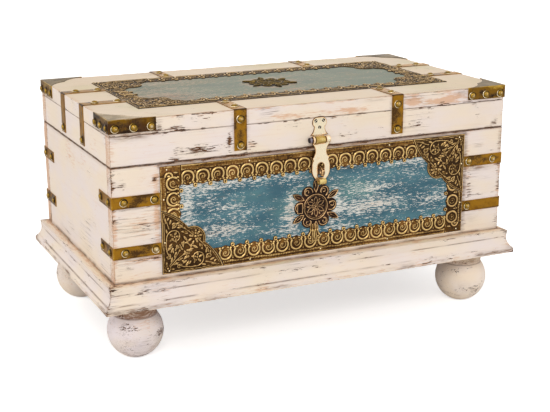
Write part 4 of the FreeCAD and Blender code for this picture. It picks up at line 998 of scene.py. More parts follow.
@dataclass
class Carcass:
    """Boards of the chest's body, its bottom and the corner blocks inside."""

    field_half: float = 318.0
    field_low: float = 186.0
    field_high: float = 366.0
    border_half: float = 338.0
    border_top: float = 379.0
    dark_rim: tuple[float, float] = (382.6, 384.8)
    aged_below: float = 200.0
    corner_block: float = 80.0
    front_wear: tuple[Patch, ...] = patches(
        (-343, 357, 7, 10, 0.8), (-366, 262, 30, 20, 0.5), (-380, 307, 45, 3, 0.7), (-380, 205, 48, 4, 0.6),
        (-415, 186, 4, 8, 0.8), (-345, 240, 8, 14, 0.5), (347, 270, 8, 42, 0.7), (418, 300, 7, 60, 0.5),
        (395, 280, 12, 3, 0.9), (419, 180, 6, 14, 0.9), (-340, 300, 6, 30, 0.35), (385, 306, 40, 3, 0.5),
        (345, 190, 9, 16, 0.5), (0, 384.5, 420, 2.5, 0.2), (-405, 352, 9, 4, 0.9), (-412, 286, 10, 5, 0.8),
        (-398, 192, 12, 9, 0.7), (400, 338, 14, 4, 0.7), (372, 245, 20, 4, 0.6), (360, 352, 14, 5, 0.5))
    front_rub: tuple[Patch, ...] = patches(
        (-380, 206, 45, 5, 0.9), (-421, 275, 4, 110, 0.9), (380, 308, 40, 5, 0.7), (343, 275, 8, 110, 0.35),
        (-339, 290, 6, 90, 0.9), (-370, 270, 30, 24, 0.4), (0, 383, 420, 3, 0.6), (380, 212, 40, 5, 0.5),
        (340, 330, 10, 30, 0.5), (421, 270, 4, 100, 0.6), (-60, 262, 22, 44, 0.8), (125, 255, 40, 14, 0.7),
        (-190, 242, 40, 14, 0.6))
    flecks: tuple[Patch, ...] = patches(
        (-282, 292, 18, 50, 1.6), (-190, 334, 120, 9, 1.6), (-215, 242, 50, 16, 1.5), (-64, 262, 17, 46, 1.9),
        (110, 290, 90, 11, 1.1), (115, 256, 85, 12, 1.7), (-200, 285, 40, 10, 0.8), (215, 335, 60, 8, 1.6),
        (270, 250, 40, 10, 0.9), (-100, 222, 50, 6, 0.5), (40, 214, 70, 6, 0.5), (-10, 310, 30, 12, -0.5),
        (-180, 212, 110, 10, -0.9), (240, 292, 50, 16, -0.6), (32, 262, 15, 40, 1.3), (210, 224, 80, 12, -0.8),
        (-120, 304, 60, 18, -0.9), (70, 322, 80, 10, -0.6), (-120, 256, 34, 22, -0.6))
    # Soiling, and painted shade: the smears just below the straps and beside the border's edges are painted
    # shade, those at the right end are soiling
    grime: tuple[Patch, ...] = patches(
        (335, 275, 4.2, 110, 1.3), (-335, 275, 2.2, 105, 0.6), (380, 222, 45, 3, 0.55),
        (-380, 307, 45, 2.4, 0.5), (-385, 211, 42, 2.6, 0.75), (365, 303, 34, 5, 0.8), (421, 355, 4, 26, 0.6),
        (422, 280, 3, 30, 0.5), (352, 196, 20, 14, 0.25))

    def wall(self, side: Side, seed: int) -> None:
        """Build one of the four boards.

        Args:
            side: the wall that it makes.
            seed: which unevenness to use.
        """
        node = side.name.lower() + "_board"
        grain = Grain.ALONG_X if side.wide else Grain.ALONG_Y
        shell = board(node, grain, seed, 4.0 if side is Side.FRONT else 6.0)
        x, y, z = shell.points.T
        values = shell.values
        front = (y < 1.5 - HALF_DEPTH) * 1.0
        values["paint"] = eased(beyond_walls(shell), -WALL, 2 - WALL)
        values["tone"] += 0.2 * eased(-z, -self.aged_below, -PLINTH_TOP)
        values["seam"] = np.maximum.reduce([
            eased(z, *self.dark_rim), joint_line(shell), corner_lines(shell, seed),
            0.62 * front * (z > self.border_top) * (np.abs(x) < self.border_half)])
        weather_ends(shell)
        values["wear"] *= 0.8 if side.wide else 0.3
        if side is Side.FRONT:
            area = front * (np.abs(x) < self.field_half) * (z > self.field_low) * (z < self.field_high)
            rubbed = patched(self.front_rub, x, z)
            # Grime on the front outside the field: soiling, and painted shade below the straps and beside the
            # border
            dirt_and_shade = (1 - area) * front * np.minimum(patched(self.grime, x, z), 1)
            values.update(
                field=area, warm=rubbed, grime=np.maximum(values["grime"], dirt_and_shade),
                wear=(1 - area) * (values["wear"] + front * patched(self.front_wear, x, z)),
                rub=(1 - 0.85 * area) * (values["rub"] * 0.6 + front * rubbed),
                fleck=patched(self.flecks, x, z) + 0.3 * unevenness(shell.points, 26, 41, 2))
        build_piece(node + "_painted", shell, FRONT_PAINT if side is Side.FRONT else PAINT, "chest", node)

    def build(self) -> None:
        """Build every board."""
        for seed, side in enumerate(WALLS, 1):
            self.wall(side, seed)
        build_piece("bottom_board_planed", board("bottom_board", Grain.ALONG_X_FLAT, 9, 12.0), RAW, "chest",
                    "bottom_board")
        low, high = corners_of("foot_blocks")
        size = self.corner_block
        blocks = [weathered(block((x, y, low[2]), (x + size, y + size, high[2]), 8, 1.0), 12)
                  for y in (low[1], high[1] - size) for x in (low[0], high[0] - size)]
        build_piece("foot_blocks_sawn", joined(blocks).with_grain(Grain.ALONG_X), RAW, "chest", "foot_blocks")


@dataclass
class Plinth:
    """The mitred base moulding."""

    spread: float = 26.0
    bead: float = 14.0
    cove: float = 33.0
    nose: float = 47.0

    def profile(self) -> tuple[Array, Array]:
        """Draw the moulding's profile.

        Returns:
            Reach and height of each of its lines, and how close each is to an arris.
        """
        path = [(0.0, 0.0)] + [(reach, 0.0) for reach in np.linspace(4, self.spread, 6)]
        path += [(self.spread, height) for height in (0.6, 1.4, 3, 4.8, 6)]
        path += [(self.spread - 5 * share ** 1.6, 6 + 8 * share ** 0.75) for share in np.linspace(0.12, 1, 8)]
        path += [(21 - 7 * (1 - (1 - share) ** 2), self.bead + 19 * share) for share in np.linspace(0.1, 1, 9)]
        path += [(14 + 1.5 * share, self.cove + 14 * share)
                 for share in (0.04, 0.12, 0.3, 0.55, 0.8, 0.93, 1.0)]
        path += [(15.5 * (1 - share), self.nose + 3 * share) for share in (0.04, 0.1, 0.3, 0.6, 1.0)]
        path = np.array(path, float)
        corners = ((self.spread, 0), (self.spread, 6), (21, self.bead), (14, self.cove), (15.5, self.nose),
                   (0, 50))
        return path, np.min([np.hypot(path[:, 0] - x, path[:, 1] - y) for x, y in corners], axis=0)

    def side(self, half: float, other: float, seed: int) -> Shell:
        """One side of the moulding, in front of the chest and facing forward.

        Args:
            half: half the length of the wall that it runs along.
            other: distance of that wall from the middle of the chest.
            seed: which unevenness to use.

        Returns:
            The moulding, with its wear and the painted shade in its creases.
        """
        path, gaps = self.profile()
        rows, columns = round(2 * half / 3.5), len(path)
        share = np.linspace(-1, 1, rows + 1)
        s, k = (grid.ravel() for grid in np.meshgrid(share, np.arange(columns), indexing="ij"))
        reach, height = path[k, 0], path[k, 1]
        points = np.stack([s * (half + reach), -other - reach, PLINTH_FOOT + height], 1)
        slope = np.gradient(path, axis=0)
        away = np.stack([np.zeros(columns), -slope[:, 1], -slope[:, 0]], 1)
        away /= np.linalg.norm(away, axis=1, keepdims=True)
        i, j = np.meshgrid(np.arange(rows), np.arange(columns - 1), indexing="ij")
        corner = i * columns + j
        quads = np.stack([corner, corner + columns, corner + columns + 1, corner + 1], -1).reshape(-1, 4)
        back = np.arange(rows + 1) * columns
        wall = np.stack([back[:-1] + columns - 1, back[1:] + columns - 1, back[1:], back[:-1]], 1)
        ends = [np.arange(columns)[None, ::-1], np.arange(columns)[None] + rows * columns]
        mitre = (1 - np.abs(s)) * (half + self.spread / 2)
        shell = weathered(Shell(points, [quads, wall, *ends], away[k], {"arris": np.minimum(gaps[k], mitre)}),
                          seed, 1.1)
        values = shell.values
        ledge = eased(height, 46.8, 48.5)
        values["tone"] += 0.7 * ledge + 0.35 * eased(-height, -3, 0)
        values["wear"] = 0.6 * values["wear"] + 0.4 * bell(mitre, 0, 14) + 0.2 * bell(height, 30, 3) \
            + 0.15 * bell(height, 45, 5) + 0.12 * bell(height, 7, 5)
        values["edge"] *= 0.5
        values["rub"] += 0.35 * bell(height, 5, 4) + 0.4 * bell(mitre, 0, 8) + 0.5 * bell(reach, 2, 4) \
            + 0.45 * ledge
        blotch = blotches(points, (46, 46, 12), seed + 40, -0.1, 0.7)
        values["grime"] = np.minimum(
            0.8 * blotch * bell(height, 4, 5) + 0.6 * bell(mitre, 0, 16) * bell(height, 7, 8), 0.9)
        broken = blotches(points, (60, 60, 9), seed + 20, -0.5, 0.4)
        # The lines at the cove and the bead are painted shade in the moulding's creases; those at the mitres
        # and along the top are joints
        values["seam"] = np.maximum.reduce([
            0.8 * broken * bell(height, self.cove, 0.9), 0.8 * broken * bell(height, self.bead, 0.9),
            0.8 * broken * bell(mitre, 0, 1.4), (height > 49.2) * (reach < 3.5) * (0.4 + 0.6 * broken)])
        values["paint"] = eased(height + (reach > self.spread - 0.1) * 9, -0.5, 0.6)
        return shell

    def build(self) -> None:
        """Build the four mitred lengths."""
        for seed, side in enumerate(WALLS, 21):
            shell = self.side(HALF_WIDTH if side.wide else HALF_DEPTH, side.reach, seed)
            along, up, out = side.axes
            grain = shell.points[:, Grain.ALONG_X.value] * MM + seed
            shell = shell.moved(np.stack([along, -out, up]), (0, 0, 0))
            shell.values["grain"] = grain
            node = "plinth_" + side.name.lower()
            build_piece(node + "_moulded", shell, PAINT, "chest", node)


@dataclass
class BallFeet:
    """Four turned ball feet with flared collars."""

    ball: float = 54.5
    centre: float = 51.0
    neck: float = 42.0
    collar: float = 55.0
    spigot: float = 12.5
    spigot_top: float = 137.0
    inset_x: float = 372.0
    inset_y: float = 184.5

    def profile(self) -> list[tuple[float, float]]:
        """Draw the foot's profile.

        Returns:
            Radius and height of each step, from the floor to the spigot's top.
        """
        low = -math.asin(self.centre / self.ball)
        high = math.acos(self.neck / self.ball)
        steps = [(self.ball * math.cos(low) * share, 0.0) for share in (0.02, 0.5, 0.9)]
        steps += [(self.ball * math.cos(angle), self.centre + self.ball * math.sin(angle))
                  for angle in np.linspace(low, high, 44)]
        start, top = self.centre + self.ball * math.sin(high), PLINTH_FOOT
        steps += [(self.neck + (self.collar - self.neck) * share ** 2.4, start + (top - start) * share)
                  for share in (0.06, 0.15, 0.3, 0.45, 0.6, 0.72, 0.82, 0.9, 0.96)]
        return steps + [(self.collar, top - 0.8), (self.collar - 0.8, top - 0.1), (30, top), (self.spigot, top),
                        (self.spigot, self.spigot_top), (0.5, self.spigot_top)]

    def build(self) -> None:
        """Build the feet."""
        waist = self.centre + math.sqrt(self.ball ** 2 - self.neck ** 2)
        for seed, (label, side, end) in enumerate(CORNERS, 31):
            # The near foot takes the shaded paint and a darker collar, the far feet the lighter paint
            paint, worn, dirt_and_shade = (NEAR_FOOT_PAINT_SHADED, 0.25, 1.3) if label == NEAR_CORNER else (FAR_FOOT_PAINT_LIT, 0.12, 0.7)
            shell = turned(self.profile(), 96)
            z = shell.points[:, 2]
            places = shell.points
            dent = 0.35 * unevenness(places, 34, seed) + 0.12 * unevenness(places, (30, 30, 4), seed)
            shell.push(dent * eased(z, 0, 6) * eased(-z, -112, -108))
            places = shell.points
            shell.values.update(
                edge=0.8 * bell(z, PLINTH_FOOT, 2), tone=0.6 * eased(z, 86, 98),
                wear=worn + 0.6 * blotches(places, (46, 46, 18), seed + 5, 0.0, 0.7)
                + 0.12 * unevenness(places, (40, 40, 3), seed + 3, 2),
                rub=0.4 * eased(z, 84, 94) + 0.35 * blotches(places, 40, seed + 6, 0.0, 0.9, 1),
                paint=1.0 - eased(z, 114.6, 115.5), seam=0.7 * bell(z, waist, 0.9),
                # The collar under the plinth darkens with the grime colour as painted shade; blotches also
                # darken the ball towards the bottom
                grime=dirt_and_shade * eased(z, waist - 2, waist + 3)
                + 0.35 * blotches(places, 24, seed + 8, 0.45, 0.9) * eased(-z, -60, -30))
            shell = shell.with_grain(Grain.ALONG_X, seed * 0.6)
            shell = shell.moved(np.eye(3), (side * self.inset_x, end * self.inset_y, 0))
            build_piece(f"foot_{label}_turned", shell, paint, "chest", f"foot_{label}")


@dataclass
class LidBoards:
    """The lid's four rails and the slab on top."""

    field_x: float = 318.0
    field_y: float = 132.0
    slab_joint: float = 443.0
    dark_foot: tuple[float, float] = (387.4, 389.4)
    painted_depth: float = 4.0
    wheel_radius: float = 50.0
    front_wear: tuple[Patch, ...] = patches(
        (-192, 420, 5, 14, 1.1), (-255, 404, 36, 8, 1.25), (-304, 391, 12, 6, 0.8), (-145, 402, 12, 10, 0.6),
        (-60, 432, 26, 4, 0.6), (133, 408, 12, 3, 0.9), (205, 407, 22, 4, 0.8), (40, 405, 20, 3, 0.6),
        (0, 387.5, 420, 2.5, 0.3), (0, 441, 420, 2, 0.15), (-300, 450, 30, 4, 0.6), (-330, 457, 8, 7, 0.7),
        (405, 400, 10, 10, 0.7), (300, 447, 90, 3, 0.4), (-415, 445, 8, 10, 0.6))
    front_rub: tuple[Patch, ...] = patches(
        (-70, 452, 46, 6, 1.1), (60, 452, 56, 6, 1.1), (205, 458, 20, 10, 1.5), (270, 452, 40, 6, 1.3),
        (310, 459, 40, 8, 0.8), (-145, 402, 14, 10, 0.7), (-380, 446, 40, 4, 0.6), (-420, 415, 4, 30, 0.6),
        (0, 471, 420, 2, 0.5))
    # Soiling, and painted shade: the smears just below the brackets and at the edges and ends of the straps are
    # painted shade, the two near the top are soiling
    grime: tuple[Patch, ...] = patches(
        (-385, 442, 40, 6, 1.1), (-345, 448, 26, 2.5, 0.6), (385, 445, 40, 3, 0.55), (-170, 400, 13, 3, 0.8),
        (170, 401, 13, 2.5, 0.7), (-184, 436, 2.5, 36, 0.6), (-156, 436, 2.5, 36, 0.6),
        (156, 436, 2.5, 36, 0.6), (184, 436, 2.5, 36, 0.7), (120, 467, 30, 4, 0.3), (330, 462, 20, 8, 0.3))
    # Painted shade just below the brackets' legs on the sides
    side_grime: tuple[Patch, ...] = patches((-190, 446, 45, 3, 0.8), (190, 446, 45, 3, 0.5))

    def piece(self, side: Side, seed: int) -> None:
        """Build a rail, or the slab.

        Args:
            side: the side of the lid that it makes. The top is the slab.
            seed: which unevenness to use.
        """
        slab = side is Side.TOP
        node = "lid_top_board" if slab else f"lid_{side.name.lower()}_rail"
        grain = Grain.ALONG_X_FLAT if slab else Grain.ALONG_X if side.wide else Grain.ALONG_Y
        shell = board(node, grain, seed, 4.0 if slab else 5.0)
        x, y, z = shell.points.T
        values = shell.values
        outer = beyond_walls(shell)
        painted = np.maximum(outer, z - LID_TOP + self.painted_depth) if slab else outer
        values["paint"] = eased(painted, -WALL, 2 - WALL)
        front = (y < 1.5 - HALF_DEPTH) * 1.0
        arris = front * bell(np.hypot(z - LID_TOP, y + HALF_DEPTH), 0, 1.1)
        values["seam"] = np.maximum.reduce([
            eased(-z, -self.dark_foot[1], -self.dark_foot[0]), corner_lines(shell, seed),
            0.5 * eased(-np.abs(z - self.slab_joint), -1.4, -0.5),
            0.7 * arris * blotches(shell.points, 40, 77, -0.6, 0.3)])
        weather_ends(shell)
        # Grime on the rails: soiling, and painted shade below the brackets and beside the straps
        dirt_and_shade = patched(self.grime, np.where(front > 0, x, BEYOND), z) \
            + patched(self.side_grime, np.where(x < 1 - HALF_WIDTH, y, BEYOND), z)
        values["grime"] = np.maximum(values["grime"], np.minimum(dirt_and_shade, 1))
        values["wear"] = values["wear"] * (0.45 if side in (Side.LEFT, Side.RIGHT) else 0.8) \
            + front * patched(self.front_wear, x, z)
        values["rub"] = values["rub"] * 0.5 + front * patched(self.front_rub, x, z)
        if slab:
            top = eased(shell.outward[:, 2], 0.5, 0.9)
            values.update(
                tone=values["tone"] * (1 - top) + top * (0.85 + 0.25 * unevenness(shell.points, 90, 3)),
                rub=values["rub"] + top * 0.5 * bell(values["arris"], 2, 7),
                wear=values["wear"] * (1 - 0.5 * top),
                field=top * (np.abs(x) < self.field_x) * (np.abs(y) < self.field_y),
                fleck=0.25 - x / 500 + 0.8 * unevenness(shell.points, (110, 30, 60), 47, 2)
                + 1.6 * bell(np.maximum(np.hypot(x, y) - self.wheel_radius, 0), 0, 14),
                warm=0.9 + 0.4 * unevenness(shell.points, 80, 49))
        build_piece(node + "_painted", shell, LID_PAINT if slab else PAINT, "lid", node)

    def build(self) -> None:
        """Build the lid's boards."""
        for seed, side in enumerate((*WALLS, Side.TOP), 41):
            self.piece(side, seed)


@dataclass
class CornerPlate:
    """A pressed corner plate. Its origin is the outer corner, and X and Y run along its straight edges."""

    leg: float = 124.0
    near: float = 54.0
    scroll: tuple[float, float] = (70.0, 25.0)
    flower: tuple[float, float] = (67.5, 67.5)
    leaf_height: float = 1.8
    leaf_groove: float = 0.35

    @property
    def outline(self) -> Array:
        """The plate's wavy outline."""
        return trace(((0, 0), (self.leg, 0), (CUSP, self.near, 118, -1), (self.near, CUSP, 26, -1),
                      (0, self.leg, 118, -1)), 18)

    def marks(self) -> tuple[Mark, ...]:
        """Draw half the plate's pattern. The other half mirrors it.

        Returns:
            The scrolls, seeds and leaves.
        """
        spiral = [(30, 17), (42, 10.5), (56, 8.2)] + bow(*self.scroll, 16.5, -105, 250, 5.5, 50)
        lines = [
            Line(spiral, 1.05, 1.9, 0.2), Line([(16, 14), (27, 24), (37, 31), (50, 38)], 0.8, 1.4, 0.3),
            Line([(88, 14), (98, 11), (110, 7)], 1.0, 1.6, 0.4), Line(bow(34, 12, 5.6, 30, 290, 2.0), 0.9, 1.6),
            Line([(50, 56), (57, 50), (63, 50)], 0.9, 1.6, 0.3),
            Line(bow(95, 24, 6.4, 200, -80, 2.2), 0.95, 1.7),
            Line([(71, 63), (79, 55), (86, 45), (90, 37)], 1.0, 1.7, 0.3),
            Line(bow(52, 31, 5.2, 60, 330, 2.0), 0.9, 1.6)]
        leaves = [self.leaf(*self.scroll, *numbers) for numbers in (
            *((7.3, angle, 12, 11, 4.6) for angle in (15, 87, 159, 231, 303)),
            *((22.6, angle, lean, 13.5, 5.0) for angle, lean in (
                (205, 30), (170, 50), (135, 34), (100, 48), (66, 30), (32, 46), (-4, 30))),
            *((27.5, angle, -40, 10, 3.8) for angle in (188, 152, 117)))]
        leaves += [Seed(*numbers, self.leaf_height, self.leaf_groove) for numbers in (
            (27, 19, 14, 12, 4.4), (36, 26.5, 20, 12, 4.6), (46, 36, 24, 12.5, 4.8), (57, 43, 12, 11, 4.2),
            (20, 9, -8, 10, 4.0), (45, 20, 30, 11, 4.2), (55, 17, 50, 9, 3.8), (101, 17.5, 24, 11, 4.2),
            (107, 13.5, 40, 8, 3.4), (103, 7.6, -14, 11, 3.8), (115, 5.6, -6, 10, 3.4), (83, 9.5, -18, 11, 4.0),
            (92, 36, 112, 11, 4.4), (86, 48, 128, 10, 4.0), (97, 32, 80, 9, 3.6), (76, 49, 100, 9, 3.8),
            (62, 56, 60, 10, 4.2))]
        buds = [Ring(*numbers) for numbers in (
            (*self.scroll, 0, 1.9, 1.9), (*self.flower, 0, 2.6, 2.1), (11, 11, 0, 2.6, 1.8),
            (11, 11, 5.4, 0.8, 1.3), (34, 12, 0, 1.3, 1.6), (95, 24, 0, 1.4, 1.6), (52, 31, 0, 1.3, 1.6))]
        petals = [self.leaf(*self.flower, 8.6, angle, 10, 10.5, 4.6) for angle in range(-75, 190, 40)]
        return (*lines, *leaves, *buds, *petals)

    def leaf(self, x: float, y: float, reach: float, angle: float, lean: float, length: float,
             width: float) -> Seed:
        """A leaf on a circle round a place. Angles are in degrees.

        Args:
            x: X of the place.
            y: Y of the place.
            reach: radius of the circle.
            angle: where on the circle its middle is.
            lean: how far it leans from the way outward.
            length: its length.
            width: its width.

        Returns:
            The leaf.
        """
        turn = math.radians(angle)
        return Seed(x + reach * math.cos(turn), y + reach * math.sin(turn), angle + lean, length, width,
                    self.leaf_height, self.leaf_groove)

    def shell(self) -> Shell:
        """Press the plate.

        Returns:
            The plate in its own plane.
        """
        outline, marks = self.outline, self.marks()

        def relief(u: Array, v: Array) -> Array:
            """Height of the pressed surface."""
            deep, flat = depth_inside(outline, u, v), on_plane(u, v)
            rims = np.maximum(1.3 * dome((deep - 1.2) / 1.1), dome((deep - 4.4) / 0.75))
            pattern = np.maximum(highest(marks, u, v), highest(marks, v, u)) * eased(deep, 4.6, 6.2)
            return 1.0 + 0.24 * unevenness(flat, 3.2, 3) + np.maximum(rims, pattern) * (
                0.8 + 0.3 * unevenness(flat, 16, 8))

        return stamped((0, 0, self.leg, self.leg), 0.8, lambda u, v: depth_inside(outline, u, v), relief,
                       warp=1.0)


@dataclass
class Strip:
    """A pressed border strip. X runs along it, and its plain outer edge is at Y zero."""

    length: float
    first: float
    count: int
    pitch: float = 30.1
    plate_at_start: bool = True
    plate_at_end: bool = True
    rings: bool = False
    beads: float = 1.0
    plate_gap: float = 0.3
    bead_pitch: float = 3.5
    band: float = 38.4
    arch: tuple[float, float] = (10.2, 30.4)
    loop: tuple[float, float] = (4.5, 41.2)
    square: tuple[float, float] = (40.0, 41.0)

    def from_arch(self, u: Array) -> Array:
        """Distance along from the nearest arch."""
        return u - self.first - self.pitch * np.clip(np.round((u - self.first) / self.pitch), 0, self.count - 1)

    def from_loop(self, u: Array) -> Array:
        """Distance along from the nearest loop between two arches."""
        place = (u - self.first) / self.pitch - 0.5
        return u - self.first - self.pitch * (0.5 + np.clip(np.round(place), 0, self.count - 2))

    def inside(self, u: Array, v: Array) -> Array:
        """Depth inside the strip's scalloped outline.

        Args:
            u: X of each place.
            v: Y of each place.

        Returns:
            The depth of each place, less than nothing outside.
        """
        deep = np.maximum.reduce([self.band - v, self.arch[0] - np.hypot(self.from_arch(u), v - self.arch[1]),
                                  self.loop[0] - np.hypot(self.from_loop(u), v - self.loop[1])])
        if not self.plate_at_start:
            deep = np.maximum(deep, np.minimum(self.square[1] - v, self.square[0] - u))
        deep = np.minimum.reduce([deep, v, u, self.length - u])
        plate = CornerPlate().outline
        for meets, along in ((self.plate_at_start, u), (self.plate_at_end, self.length - u)):
            if meets:
                deep = np.minimum(deep, -self.plate_gap - depth_inside(plate, along + CUSP, v))
        return deep

    def arch_marks(self) -> tuple[Mark, ...]:
        """What stands within one arch or ring, measured from its middle."""
        if self.rings:
            return (Ring(0, 25, 11.6, 2.4, 2.1), Ring(0, 25, 0, 11, 1.0),
                    Line(bow(0, 25, 6.6, 80, 400, 4.4), 1.1, 1.4), Ring(0.4, 25, 0, 2.7, 1.8),
                    Ring(0, 40.2, 0, 2.4, 1.6))
        half = (Ring(-11.4, 34.8, 0, 2.4, 1.9), Seed(-5.6, 35.6, 30, 6.5, 3.0, 1.5))
        return (Line(bow(0, 24.8, 12.0, 145, 395), 2.2, 2.6), Ring(0, 25.5, 0, 11, 1.0),
                Line(bow(0.4, 25.6, 7.8, 410, 40, 2.2), 1.2, 1.8, 0.2), Ring(0.2, 25.4, 0, 1.9, 1.9),
                *mirrored(half))

    def relief(self, u: Array, v: Array) -> Array:
        """Height of the pressed surface.

        Args:
            u: X of each place.
            v: Y of each place.

        Returns:
            The height of each place.
        """
        between, flat = self.from_loop(u), on_plane(u, v)
        loop_marks = (Ring(0, 40.8, 2.9, 1.4, 1.9), Ring(0, 14.2, 0, 1.6, 1.2), Seed(0, 19, 90, 8, 2.8, 1.1),
                      Ring(-3.4, 16.4, 0, 1.1, 0.9), Ring(3.4, 16.4, 0, 1.1, 0.9))
        bead = np.hypot((u % self.bead_pitch) - self.bead_pitch / 2, v - 8.2)
        pattern = np.maximum.reduce([
            highest(self.arch_marks(), self.from_arch(u), v), highest(loop_marks, between, v),
            self.beads * dome(bead / 1.5), 0.55 * eased(10.2 - v, 0, 0.6), 0.95 * dome((v - 1.2) / 1.1),
            0.8 * dome((v - 6.3) / 0.55), 0.9 * dome((v - 10.0) / 0.6)])
        if not self.plate_at_start:
            corner = (Ring(17.5, 20.5, 7.2, 1.9, 2.2), Ring(17.5, 20.5, 0, 3.4, 2.0),
                      Seed(31, 13.5, 8, 9, 3, 1.4, 0.3), Seed(8.5, 33, 100, 9, 3.2, 1.5, 0.3))
            pattern = np.where(u < 21, highest(corner, v, u), pattern)
        pit = 0.8 * dome(np.hypot(between, v - self.loop[1]) / 1.4)
        return 1.0 - pit + pattern * (0.8 + 0.3 * unevenness(flat, 17, 11)) + 0.2 * unevenness(flat, 3.2, 4) \
            + 0.14 * unevenness(flat, 11, 13)

    def shell(self) -> Shell:
        """The pressed strip in its own plane."""
        return stamped((0, 0, self.length, 46), 0.95, self.inside, self.relief, warp=0.9)


@dataclass
class Wheel:
    """The pressed medallion: six leaves and six scrolled lobes round a ringed rosette."""

    slotted: bool = False
    disc: float = 36.8
    lobe: tuple[float, float] = (12.2, 34.5)
    leaf: tuple[float, float, float] = (6.2, 44.0, 14.4)

    @staticmethod
    def folded(u: Array, v: Array, turn: float = 0.0) -> tuple[Array, Array]:
        """Fold the wheel's six sectors into the one about X."""
        radius = np.hypot(u, v)
        angle = (np.arctan2(v, u) + turn) % (math.pi / 3) - math.pi / 6
        return radius * np.cos(angle), radius * np.sin(angle)

    def inside(self, u: Array, v: Array) -> Array:
        """Depth inside the medallion's outline."""
        x, y = self.folded(u, v, math.pi / 6)
        lobe = self.lobe[0] - np.hypot(x - self.lobe[1], y * 0.9)
        x, y = self.folded(u, v)
        half, middle, reach = self.leaf
        leaf = (half * (1 - ((x - middle) / reach) ** 2) - np.abs(y)) * 0.8
        return np.maximum.reduce([self.disc - np.hypot(u, v), lobe, leaf])

    def relief(self, u: Array, v: Array) -> Array:
        """Height of the pressed surface.

        Args:
            u: X of each place.
            v: Y of each place.

        Returns:
            The height of each place.
        """
        rings = (Ring(0, 0, 25.4, 0.95, 2.2), Ring(0, 0, 22.4, 0.55, 1.2), Ring(0, 0, 0, 2.2, 1.9),
                 Ring(0, 0, 8.0, 0.6, 1.1))
        lobe_marks = (Line(bow(34.6, 0, 10.4, -120, 130, 7.0), 0.95, 1.7),
                      Line(bow(35.4, 0.6, 6.0, 160, -160, 2.0), 0.8, 1.5), Seed(15.6, 0, 0, 7, 3.2, 1.3, 0.3))
        edge = [(30 + 27 * t, 5.3 * math.sin(math.pi * t)) for t in np.linspace(0, 1, 13)]
        petal = [(3 + 17.5 * t, 3.7 * math.sin(math.pi * t)) for t in np.linspace(0, 1, 11)]
        leaf_marks = (Line(edge, 1.1, 2.5), Line([(x, -y) for x, y in edge], 1.1, 2.5),
                      Line([(33, 0), (54, 0)], 0.7, 1.5, 0.5), Line(petal, 0.7, 1.6),
                      Line([(x, -y) for x, y in petal], 0.7, 1.6))
        pattern = np.maximum.reduce([highest(rings, u, v), highest(lobe_marks, *self.folded(u, v, math.pi / 6)),
                                     highest(leaf_marks, *self.folded(u, v))])
        flat = on_plane(u, v)
        height = 1.0 + pattern * (0.8 + 0.3 * unevenness(flat, 15, 15)) + 0.14 * unevenness(flat, 2.6, 17)
        if self.slotted:
            slot = np.minimum(4.4 - np.abs(u + 33.8), 8.8 - np.abs(v + 1))
            rim = 1.0 + 1.6 * dome((slot + 0.9) / 0.8)
            height = np.where(slot > -0.1, 0.3, np.where(slot > -1.8, rim, height))
        return height

    def shell(self) -> Shell:
        """The pressed medallion in its own plane."""
        return stamped((-50, -59, 50, 59), 0.7, self.inside, self.relief, warp=0.9)


@dataclass
class Stem:
    """The pressed stem that joins the front medallion to the border. Its origin is the medallion's middle."""

    middle: float = -4.0
    top: float = -33.0
    bottom: float = -71.0

    def inside(self, u: Array, v: Array) -> Array:
        """Depth inside the stem's outline."""
        waist = 8.5 + 6.5 * eased(-v, 46, 60) - 5.0 * eased(-v, 62, 71)
        return np.minimum.reduce([waist - np.abs(u - self.middle), self.top - v, v - self.bottom])

    def relief(self, u: Array, v: Array) -> Array:
        """Height of the pressed surface."""
        half = (Line([(-3.2, -36), (-3.0, -48), (-4.6, -60), (-4.0, -70)], 1.0, 1.7),
                Line([(-7.0, -38), (-7.2, -48), (-10, -55)], 0.9, 1.5),
                Line(bow(-9.8, -61, 4.4, 100, 420, 1.6), 1.0, 1.8))
        marks = (*mirrored(half), Seed(0, -57, 90, 22, 4.0, 1.8, 0.3), Seed(0, -40, 90, 12, 3.4, 1.6, 0.3))
        return 1.0 + 2.2 * eased(-v, 44, 48) + highest(marks, u - self.middle, v) * (
            0.85 + 0.25 * unevenness(on_plane(u, v), 12, 19))

    def shell(self) -> Shell:
        """The pressed stem in its own plane."""
        return stamped((-20, self.bottom, 12, self.top), 0.8, self.inside, self.relief, warp=0.5)


def laid(shell: Shell, side: Side, roll: float, origin: Sequence[float], shift: float = 0.0) -> Shell:
    """Lay a flat sheet on a face of the chest.

    Args:
        shell: the sheet in its own plane.
        side: the face that it lies on.
        roll: turn within that face, in degrees.
        origin: where its own origin goes.
        shift: offset of its surface pattern, so that no two sheets wear alike.

    Returns:
        The sheet in the chest's frame.
    """
    along, up, out = side.axes
    turn = math.radians(roll)
    axes = np.stack([along * math.cos(turn) + up * math.sin(turn),
                     up * math.cos(turn) - along * math.sin(turn), out])
    result = shell.moved(axes, origin)
    result.values["grain"] = shell.values["grain"] + shift
    return result


PRESSED_CREASE = 80.0


